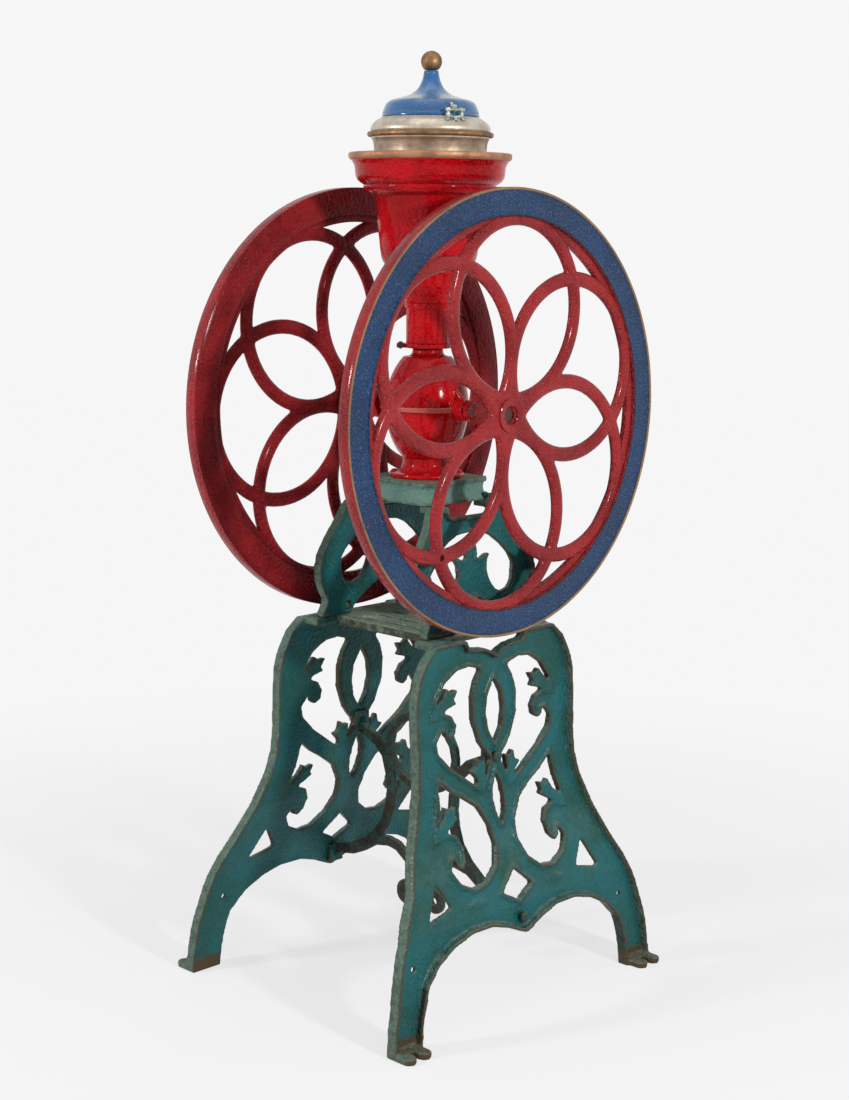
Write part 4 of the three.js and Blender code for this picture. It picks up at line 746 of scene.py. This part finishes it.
for name in ("feed_screw", "rotating_burr", "fixed_burr"):
    finish_solid(name, bare_steel)
finish_solid("near_bush", bush_bronze)


# Hand wheels: cast iron, 762 mm across. Six overlapping circles make the spokes, and they
# run into a narrow inner ring. The rim's outer face is sunk and painted blue inside a
# rubbed gold lip, and its raised inner lip is near black, painted shade; all the rest is a
# pebbly dark red, darker where faces turn in towards the case, which is painted shade.

wheel_radius = 0.3809
wheel_face = 0.2018
rim_back = 0.177
sunk_face = 0.1995
blue_inner = 0.3327
ring_inner = 0.3197
ring_face = 0.194
ring_back = 0.182
circle_radius = 0.1532
circle_offset = 0.178
circle_band = 0.0132
circle_depth = 0.0082
circle_middle = 0.1895
spoke_grain = 0.0026
spoke_rounds = 3
wheel_red_paint = (0.31, 0.019, 0.021, 1)
wheel_red_shade = (0.2, 0.01, 0.012, 1)
rim_blue_paint = (0.012, 0.082, 0.25, 1)
rim_blue_shade = (0.01, 0.058, 0.18, 1)
lip_gold = (0.26, 0.145, 0.06, 1)

wheel_red = painted_iron(
    "wheel red", wheel_red_paint, wheel_red_shade, under=(0.09, 0.02, 0.016, 1),
    dust_and_glint=(0.3, 0.07, 0.06, 1), wear=0.38, dusting=0.12, painted_glints=0.4, pits=0.6,
    relief=0.0024, gloss=0.26, coat=0.4, shine=0.08,
)
# The darker red of the faces turned towards the case is painted shade.
wheel_shaded_inside_red = painted_iron(
    "wheel inside red shaded", (0.24, 0.012, 0.015, 1), (0.13, 0.005, 0.007, 1),
    under=(0.06, 0.01, 0.008, 1), dust_and_glint=(0.2, 0.03, 0.03, 1), wear=0.38, dusting=0.1,
    painted_glints=0.25, pits=0.6, relief=0.0022, gloss=0.32, coat=0.15, shine=0.06,
)
# The pale blue of its specks is a painted glint.
rim_blue = painted_iron(
    "rim blue", rim_blue_paint, rim_blue_shade, under=(0.1, 0.08, 0.06, 1),
    dust_and_glint=(0.2, 0.29, 0.42, 1), wear=0.3, dusting=0.08, painted_glints=0.34, pits=0.6,
    relief=0.0028, gloss=0.22, coat=0.65, shine=0.12,
)
gold_lip = painted_iron(
    "gold lip", lip_gold, (0.19, 0.12, 0.06, 1), under=(0.07, 0.045, 0.022, 1), wear=0.5,
    dusting=0.1, relief=0.0004, gloss=0.4, coat=0.0, shine=0.3,
)
# Near black on the rim's raised inner lip: painted shade.
lip_painted_shade = painted_iron(
    "lip painted shade", (0.03, 0.012, 0.016, 1), (0.016, 0.012, 0.022, 1), under=(0.1, 0.03, 0.02, 1),
    wear=0.5, dusting=0.1, relief=0.001, gloss=0.4,
)

rim = spun("rim_near", [
    (wheel_radius, rim_back + 0.001), (wheel_radius, wheel_face - 0.0012),
    (wheel_radius - 0.001, wheel_face), (wheel_radius - 0.0026, wheel_face),
    (wheel_radius - 0.0036, wheel_face - 0.0006), (wheel_radius - 0.0044, sunk_face),
    (blue_inner + 0.0038, sunk_face), (blue_inner + 0.0032, sunk_face + 0.0014),
    (blue_inner + 0.0008, sunk_face + 0.0014), (blue_inner, sunk_face + 0.0006),
    (blue_inner, ring_face + 0.0005), (blue_inner - 0.0008, ring_face),
    (ring_inner + 0.0015, ring_face), (ring_inner, ring_face - 0.0015),
    (ring_inner, ring_back + 0.0015), (ring_inner + 0.0015, ring_back),
    (blue_inner, ring_back), (blue_inner, rim_back + 0.001), (blue_inner + 0.001, rim_back),
    (wheel_radius - 0.001, rim_back), (wheel_radius, rim_back + 0.001),
], sides=256, axis="X")
shaded(rim)
for finish in (wheel_red, rim_blue, gold_lip, lip_painted_shade, wheel_shaded_inside_red):
    rim.data.materials.append(finish)
blue_band, gold_band, lip_shade_band, shaded_inward = range(1, 5)
for face in rim.data.polygons:
    out = math.hypot(face.center.y, face.center.z)
    # Faces turned in towards the case get the darker red of painted shade.
    if face.normal.x < -0.5:
        face.material_index = shaded_inward
    if face.center.x > sunk_face - 0.0004 and out > blue_inner + 0.0033:
        face.material_index = blue_band if out < wheel_radius - 0.0044 else gold_band
    # The raised inner lip is painted near black as shade.
    elif face.center.x > sunk_face and out > blue_inner:
        face.material_index = lip_shade_band

circle = added(
    bpy.ops.mesh.primitive_torus_add, major_radius=circle_radius, minor_radius=circle_band,
    major_segments=120, minor_segments=24,
)
circle.data.transform(Matrix.Rotation(math.pi / 2, 4, "Y"))
circle.data.transform(Matrix.Diagonal((circle_depth / circle_band, 1, 1, 1)))
circle.data.transform(Matrix.Translation((circle_middle, circle_offset, 0)))
spokes = spun("spokes_near", [
    (0.0143, 0.1411), (0.0305, 0.1411), (0.032, 0.1426), (0.032, 0.178), (0.0385, 0.182),
    (0.04, 0.184), (0.04, 0.196), (0.0385, 0.1978), (0.019, 0.1978), (0.0172, 0.197),
    (0.0143, 0.196), (0.0143, 0.1411),
], sides=96, axis="X")
circles = [turned_copy(circle, f"circle_{count}", 60 * count, "X") for count in range(6)]
bpy.data.objects.remove(circle)
cast_as_one(spokes, circles, spoke_grain, spoke_rounds)
for finish in (wheel_red, wheel_shaded_inside_red):
    spokes.data.materials.append(finish)
# Spoke faces turned towards the case get the darker red of painted shade.
for face in spokes.data.polygons:
    if face.normal.x < -0.2:
        face.material_index = 1

hub_ring = spun("hub_ring", [
    (0.0165, 0.196), (0.0165, 0.1995), (0.0185, 0.2008), (0.0262, 0.2012), (0.0278, 0.2016),
    (0.0292, 0.2008), (0.0296, 0.1985), (0.0296, 0.196), (0.0165, 0.196),
], sides=72, axis="X")
shaded(hub_ring, crease=40)
hub_ring.data.materials.append(wheel_red)
use(spokes)
hub_ring.select_set(True)
bpy.ops.object.join()

handle_hole = 0.0055
hole_out = 0.2789
hole_angle = math.radians(-150)
drill = added(
    bpy.ops.mesh.primitive_cylinder_add,
    vertices=48, radius=handle_hole, depth=0.04, rotation=(0, math.pi / 2, 0),
    location=(circle_middle, hole_out * math.cos(hole_angle), hole_out * math.sin(hole_angle)),
)
apply_modifier(spokes, "BOOLEAN", operation="DIFFERENCE", solver="FAST", object=drill)
bpy.data.objects.remove(drill)

wheel_places = (("near", 24.5, 0), ("far", -125.2, 180))
for end, turn, about in wheel_places:
    place = Matrix.Translation((0, 0, shaft_height))
    place = place @ Matrix.Rotation(math.radians(about), 4, "Z")
    place = place @ Matrix.Rotation(math.radians(turn), 4, "X")
    for part, name in ((rim, "wheel_rim"), (spokes, "wheel_spokes")):
        cast = turned_copy(part, f"{name}_{end}", 0)
        cast.data.transform(place)
        fit(cast, "drive", "wheel_red", f"wheel_{end}")
    finish_solid(f"hub_pin_{end}", bare_steel)
bpy.data.objects.remove(rim)
bpy.data.objects.remove(spokes)


# Clamp: a split ring with a lug and a screw that grips the case's collar and carries the
# hopper neck, a turned iron pipe with a bead at the top.

clamp_grain = 0.0009
screw_grain = 0.0005
clamp_wear = 4
neck_ease = 0.0005
clamp = cast_copy("clamp_ring", "clamp_casting", clamp_grain, clamp_wear)
dress(clamp, case_red, "stand", "case_red", "clamp_ring")
screw = cast_copy("clamp_screw", "screw_turning", screw_grain, clamp_wear)
dress(screw, bare_steel, "stand", "bare_steel", "clamp_screw")

neck_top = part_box("hopper_neck")[1].z
neck_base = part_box("clamp_ring")[1].z + 0.0003
neck = spun("neck_turning", [
    (0.026, neck_base), (0.0378, neck_base), (0.0385, neck_base + 0.0007),
    (0.0385, neck_top - 0.012), (0.0392, neck_top - 0.0112), (0.0408, neck_top - 0.0095),
    (0.0416, neck_top - 0.007), (0.0416, neck_top - 0.004), (0.0408, neck_top - 0.0012),
    (0.0396, neck_top), (0.0335, neck_top), (0.0335, neck_base), (0.026, neck_base),
])
eased(neck, neck_ease, segments=2)
dress(neck, case_red, "stand", "case_red", "hopper_neck")


# Hopper: a throat that opens to a tall bowl, rolled in sheet iron with a stepped band and a
# flared lip, painted the same glossy red as the case. A copper-brown rim closes its edge.

sheet = 0.004


def curve(points, steps=6):
    """A smooth line through (radius, height) points."""
    line = []
    closed = [points[0], *points, points[-1]]
    for before, start, end, after in zip(closed, closed[1:], closed[2:], closed[3:]):
        for step in range(steps):
            t = step / steps
            line.append(tuple(
                0.5 * (2 * s + (e - b) * t + (2 * b - 5 * s + 4 * e - a) * t * t
                       + (3 * s - b - 3 * e + a) * t ** 3)
                for b, s, e, a in zip(before, start, end, after)
            ))
    line.append(points[-1])
    return line


def shelled(outline, wall):
    """A sheet of even thickness: the outline, then the same line a wall further in."""
    inside = [(max(radius - wall, 0.001), height) for radius, height in reversed(outline)]
    return [*outline, *inside, outline[0]]


def at_shares(node, points):
    """Points of (radius, share of the solid's height), set at their real heights."""
    low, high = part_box(node)
    rise = high.z - low.z
    return [(radius, low.z + rise * share) for radius, share in points]


throat = spun("throat_sheet", shelled(curve(at_shares("hopper_throat", [
    (0.0416, 0), (0.0435, 0.14), (0.0508, 0.3), (0.0575, 0.5), (0.0625, 0.74), (0.066, 0.9),
    (0.066, 1),
])), sheet))
shaded(throat)
dress(throat, case_red, "stand", "case_red", "hopper_throat")

bowl = spun("bowl_sheet", shelled([
    *curve(at_shares("hopper_bowl", [
        (0.066, 0), (0.0775, 0.05), (0.084, 0.13), (0.0884, 0.31), (0.0916, 0.48),
        (0.095, 0.638), (0.0985, 0.655), (0.1055, 0.668),
    ])),
    *curve(at_shares("hopper_bowl", [
        (0.1112, 0.682), (0.1142, 0.7), (0.1156, 0.725), (0.1152, 0.742), (0.1196, 0.757),
        (0.1248, 0.778), (0.128, 0.802), (0.1297, 0.83), (0.1302, 0.865), (0.1314, 0.905),
        (0.1342, 0.935), (0.1368, 0.96), (0.137, 1),
    ])),
], sheet), sides=128)
shaded(bowl)
dress(bowl, case_red, "stand", "case_red", "hopper_bowl")

copper_rim = worn_metal(
    "copper rim", (0.42, 0.2, 0.1, 1), (0.24, 0.105, 0.055, 1), rough=0.45, relief=0.0003,
    metal=0.45,
)
rim_low, rim_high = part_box("hopper_rim")
bowl_rim = spun("rim_turning", [
    (0.1373, rim_low.z + 0.0035), (0.1388, rim_low.z + 0.004), (0.1408, rim_low.z + 0.0062),
    (0.1415, rim_low.z + 0.0085), (0.1415, rim_high.z - 0.004), (0.1412, rim_high.z - 0.0018),
    (0.1395, rim_high.z - 0.0004), (0.137, rim_high.z), (0.096, rim_high.z),
    (0.096, rim_high.z - 0.004), (0.1373, rim_high.z - 0.004), (0.1373, rim_low.z + 0.0035),
], sides=144)
shaded(bowl_rim)
dress(bowl_rim, copper_rim, "stand", "rim_copper", "hopper_rim")


# Dome over the hopper: spun sheet with a satin silver finish and a turned brass bead, on
# which the blue lid closes. The brass ball on the lid is its handle.

silver = worn_metal(
    "satin silver", (0.55, 0.49, 0.4, 1), (0.4, 0.34, 0.26, 1), rough=0.3, relief=0.00005,
    metal=0.6,
)
# A darker, browner silver for the lower half of the dome.
lower_dome_silver = worn_metal(
    "lower dome silver", (0.36, 0.28, 0.2, 1), (0.2, 0.145, 0.095, 1), rough=0.34,
    relief=0.00008, metal=0.6,
)
brass = worn_metal(
    "old brass", (0.28, 0.155, 0.07, 1), (0.13, 0.075, 0.035, 1), rough=0.42, metal=0.8
)
dome_low, dome_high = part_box("hopper_dome")
dome_rise = dome_high.z - dome_low.z
dome = spun("dome_sheet", [
    (0.0971, dome_low.z), (0.0971, dome_low.z + 0.006),
    *curve(at_shares("hopper_dome", [(0.0975, 0.16), (0.099, 0.3), (0.102, 0.4)])),
    (0.1021, dome_low.z + dome_rise * 0.6),
    *curve(at_shares("hopper_dome", [
        (0.1036, 0.63), (0.1032, 0.7), (0.1008, 0.78), (0.0952, 0.88), (0.088, 0.955),
        (0.084, 1),
    ])),
    (0.0795, dome_high.z), (0.0795, dome_high.z - 0.004),
    *at_shares("hopper_dome", [(0.092, 0.78), (0.098, 0.6), (0.093, 0), (0.0971, 0)]),
], sides=144)
shaded(dome)
dress(dome, silver, "stand", "dome_silver", "hopper_dome")
dome.data.materials.append(lower_dome_silver)
# Faces on the lower half of the dome take the darker silver.
for face in dome.data.polygons:
    if face.center.z < dome_low.z + dome_rise * 0.5:
        face.material_index = 1

band_low, band_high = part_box("dome_band")
band_middle = (band_low.z + band_high.z) / 2
bead = spun("band_turning", [
    (0.1025, band_low.z), (0.106, band_low.z), *[
        (0.106 + 0.0034 * math.cos(angle), band_middle + 0.0043 * math.sin(angle))
        for angle in [math.pi * (step / 10 - 0.5) for step in range(11)]
    ], (0.106, band_high.z), (0.1025, band_high.z), (0.1025, band_low.z),
], sides=144)
shaded(bead)
dress(bead, brass, "stand", "bronze", "dome_band")

lid_blue = painted_iron(
    "lid blue", (0.018, 0.115, 0.3, 1), (0.012, 0.08, 0.22, 1), under=(0.2, 0.19, 0.18, 1),
    dust_and_glint=(0.27, 0.32, 0.36, 1), wear=0.42, dusting=0.3, pebbles=0.4, pits=0.2, relief=0.0006,
    gloss=0.22, coat=0.9, shine=0.22,
)
pale_line = painted_iron(
    "pale line", (0.3, 0.33, 0.36, 1), (0.16, 0.22, 0.3, 1), under=(0.1, 0.12, 0.16, 1),
    wear=0.5, dusting=0.3, relief=0.0002, gloss=0.4,
)
lid_low, lid_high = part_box("lid")
line_from = 0.0058
line_to = 0.0073
lid = spun("lid_spinning", [
    (0.074, lid_low.z), (0.0825, lid_low.z), (0.084, lid_low.z + 0.0012),
    (0.084, lid_low.z + 0.0045), (0.0828, lid_low.z + 0.0058), (0.0822, lid_low.z + 0.0062),
    (0.0832, lid_low.z + 0.0072),
    *curve([
        *at_shares("lid", [
            (0.0828, 0.115), (0.0805, 0.2), (0.0762, 0.3), (0.0695, 0.36), (0.06, 0.395),
            (0.051, 0.427), (0.0363, 0.49), (0.0231, 0.62), (0.0153, 0.812),
        ]),
        (0.0127, lid_high.z - 0.0004),
    ]),
    (0.0115, lid_high.z), (0, lid_high.z), (0, lid_high.z - 0.012),
    *at_shares("lid", [(0.024, 0.42), (0.06, 0.3), (0.074, 0)]),
], sides=128)
shaded(lid)
dress(lid, lid_blue, "lid_body", "lid_blue", "lid")
lid.data.materials.append(pale_line)
for face in lid.data.polygons:
    above, out = face.center.z - lid_low.z, math.hypot(face.center.x, face.center.y)
    if line_from < above < line_to and out > 0.08:
        face.material_index = 1

ball_low, ball_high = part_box("finial_ball")
ball_radius = (ball_high.x - ball_low.x) / 2
ball_middle = ball_high.z - ball_radius
ball = spun("ball_turning", [
    (0, ball_low.z), *[
        (ball_radius * math.cos(angle), ball_middle + ball_radius * math.sin(angle))
        for angle in [math.pi * (step / 40 - 0.5) for step in range(9, 40)]
    ], (0, ball_high.z),
], sides=96)
bpy.ops.object.shade_smooth()
dress(ball, brass, "lid_body", "bronze", "finial_ball")


# Lid hinge: two small ornate leaves and a pin, cast in a pale metal, one on the shoulder of
# the dome and one riveted to the lid.

hinge_metal = worn_metal(
    "hinge metal", (0.5, 0.5, 0.42, 1), (0.17, 0.22, 0.18, 1), rough=0.4, relief=0.0004,
    metal=0.6,
)
pin_middle = box_facts("hinge_pin")[2]
hinge_turn = math.atan2(pin_middle.y, pin_middle.x)
hinge_out = math.hypot(pin_middle.x, pin_middle.y)
hinge_grain = 0.0005
hinge_rounds = 2
barrel = 0.0026
pin_half = 0.0172
pin_ease = 0.0003


def hinge_place(piece):
    """From the hinge's own place, X outwards and Y along the pin, to the mill."""
    piece.data.transform(Matrix.Translation((hinge_out, 0, pin_middle.z)))
    piece.data.transform(Matrix.Rotation(hinge_turn, 4, "Z"))


def hinge_bead(name, radius, place, stretch=(1, 1, 1)):
    """A small round lump of the casting."""
    lump = added(
        bpy.ops.mesh.primitive_uv_sphere_add, segments=20, ring_count=12, radius=radius
    )
    lump.name = name
    lump.data.transform(Matrix.Diagonal((*stretch, 1)))
    lump.data.transform(Matrix.Translation(place))
    return lump


def hinge_loop(name, ring, wire, place):
    """A bent wire ring that hangs in the plane of the leaf."""
    loop = added(
        bpy.ops.mesh.primitive_torus_add, major_radius=ring, minor_radius=wire,
        major_segments=28, minor_segments=10,
    )
    loop.name = name
    loop.data.transform(Matrix.Rotation(math.pi / 2, 4, "Y"))
    loop.data.transform(Matrix.Translation(place))
    return loop


def hinge_casting(name, lumps):
    """The lumps run together as one small casting, at its place on the mill."""
    whole = cast_as_one(lumps[0], lumps[1:], hinge_grain, hinge_rounds)
    whole.name = name
    hinge_place(whole)
    return whole


shoulder = []
for side in (-1, 1):
    shoulder += [
        hinge_bead("knuckle", barrel * 1.5, (0, side * 0.0118, 0), (1, 1.5, 1)),
        hinge_bead("foot", 0.0034, (0.0006, side * 0.0128, -0.0085), (0.7, 1.1, 1.9)),
        hinge_bead("toe", 0.003, (0.002, side * 0.0142, -0.0158), (0.7, 1.2, 1.1)),
        hinge_bead("wing", 0.0026, (0.001, side * 0.0066, -0.0112), (0.7, 1.6, 0.8)),
    ]
shoulder += [
    hinge_bead("saddle", 0.0036, (0.001, 0, -0.013), (0.7, 1.5, 1.1)),
    hinge_loop("drop", 0.0052, 0.0013, (0.0042, 0, -0.0215)),
]
shoulder = hinge_casting("hinge_shoulder", shoulder)
dress(shoulder, hinge_metal, "stand", "stand_green", "hinge_base")

strap = [
    hinge_bead("middle_knuckle", barrel * 1.5, (0, 0, 0), (1, 1.6, 1)),
    hinge_bead("stem", 0.003, (-0.004, 0, 0.003), (1.3, 1.1, 1)),
    hinge_bead("leaf_tip", 0.003, (-0.0145, 0, 0.0108), (1.2, 1, 0.9)),
    hinge_bead("leaf_middle", 0.0034, (-0.009, 0, 0.007), (1.3, 1.3, 0.9)),
]
for side in (-1, 1):
    strap.append(hinge_bead("leaf_side", 0.0024, (-0.0062, side * 0.0036, 0.0062), (1, 1.1, 1)))
strap = hinge_casting("hinge_strap", strap)
dress(strap, hinge_metal, "lid_body", "stand_green", "hinge_leaf")

rod = spun("hinge_rod", [
    (0, -pin_half), (barrel * 1.1, -pin_half), (barrel * 1.1, -pin_half + 0.0022),
    (barrel * 0.7, -pin_half + 0.003), (barrel * 0.7, pin_half - 0.003),
    (barrel * 1.1, pin_half - 0.0022), (barrel * 1.1, pin_half), (0, pin_half),
], sides=32, axis="Y")
eased(rod, pin_ease, segments=2)
hinge_place(rod)
dress(rod, hinge_metal, "stand", "stand_green", "hinge_pin")


# Studio: a pale floor that runs out into a white ground, soft lamps and the camera at the
# height and side from which the mill was seen.

ground_white = 0.925
floor_pale = (0.87, 0.865, 0.885, 1)
floor_fade = (0.5, 2.3, 0.72, 1.0)
sky_pale = (0.95, 0.97, 1.0, 1)
sky_strength = 0.38
lamps = (
    ("lamp_left", (-1.5, -3.5, 2.1), 0.45, 76),
    ("lamp_right", (3.9, -0.35, 2.1), 0.34, 108),
    ("lamp_top", (0.3, -0.5, 4.2), 2.5, 22),
)
lamp_aim = Vector((0, 0, 0.9))
camera_place = Vector((2.3886, -2.4450, 1.3609))
camera_yaw = math.radians(44.60)
camera_pitch = math.radians(9.75)
camera_roll = math.radians(0.68)
sensor_width = 36
photo_focal = 1939.28
photo_height = 1100
photo_shift = (0.00744, 0.00243)


def is_seen(tree):
    """One for what the camera, a mirror or a glass sees, and nothing for lighting rays."""
    path = tree.nodes.new("ShaderNodeLightPath")
    seen = worked(tree, "MAXIMUM", path.outputs["Is Camera Ray"], path.outputs["Is Glossy Ray"])
    return worked(tree, "MAXIMUM", seen, path.outputs["Is Transmission Ray"])


floor = added(bpy.ops.mesh.primitive_plane_add, size=24, location=(0, 0, 0))
floor.name = "studio_floor"
floor_paper, tree, paper = new_finish("floor paper")
paper.inputs["Base Color"].default_value = floor_pale
paper.inputs["Roughness"].default_value = 0.9
glow = tree.nodes.new("ShaderNodeEmission")
glow.inputs["Color"].default_value = (ground_white, ground_white * 0.995, ground_white, 1)
distance = tree.nodes.new("ShaderNodeVectorMath")
distance.operation = "LENGTH"
tree.links.new(own_place(tree), distance.inputs[0])
faded = mapped(tree, distance.outputs["Value"], *floor_fade)
mixed = tree.nodes.new("ShaderNodeMixShader")
tree.links.new(worked(tree, "MULTIPLY", faded, is_seen(tree)), mixed.inputs["Fac"])
tree.links.new(paper.outputs["BSDF"], mixed.inputs[1])
tree.links.new(glow.outputs["Emission"], mixed.inputs[2])
tree.links.new(mixed.outputs["Shader"], tree.nodes["Material Output"].inputs["Surface"])
floor.data.materials.append(floor_paper)

world = bpy.data.worlds.new("studio")
bpy.context.scene.world = world
world.use_nodes = True
sky = world.node_tree
soft = sky.nodes["Background"]
soft.inputs["Color"].default_value = sky_pale
soft.inputs["Strength"].default_value = sky_strength
white = sky.nodes.new("ShaderNodeBackground")
white.inputs["Color"].default_value = (ground_white, ground_white, ground_white, 1)
around = sky.nodes.new("ShaderNodeMixShader")
sky.links.new(is_seen(sky), around.inputs["Fac"])
sky.links.new(soft.outputs["Background"], around.inputs[1])
sky.links.new(white.outputs["Background"], around.inputs[2])
sky.links.new(around.outputs["Shader"], sky.nodes["World Output"].inputs["Surface"])

for name, place, size, power in lamps:
    lamp_data = bpy.data.lights.new(name, "AREA")
    lamp_data.size = size
    lamp_data.energy = power
    lamp = bpy.data.objects.new(name, lamp_data)
    bpy.context.scene.collection.objects.link(lamp)
    lamp.location = place
    aim = lamp_aim - Vector(place)
    lamp.rotation_euler = aim.to_track_quat("-Z", "Y").to_euler()

ahead = Vector((
    -math.sin(camera_yaw) * math.cos(camera_pitch),
    math.cos(camera_yaw) * math.cos(camera_pitch),
    -math.sin(camera_pitch),
))
across = Vector((math.cos(camera_yaw), math.sin(camera_yaw), 0))
upward = across.cross(ahead)
rolled_across = math.cos(camera_roll) * across + math.sin(camera_roll) * upward
rolled_up = -math.sin(camera_roll) * across + math.cos(camera_roll) * upward
camera_data = bpy.data.cameras.new("camera")
camera_data.sensor_width = sensor_width
camera_data.lens = photo_focal * sensor_width / photo_height
camera_data.shift_x, camera_data.shift_y = photo_shift
camera = bpy.data.objects.new("camera", camera_data)
bpy.context.scene.collection.objects.link(camera)
turn = Matrix((rolled_across, rolled_up, -ahead)).transposed().to_4x4()
camera.matrix_world = Matrix.Translation(camera_place) @ turn
bpy.context.scene.camera = camera
bpy.context.scene.view_settings.view_transform = "Standard"
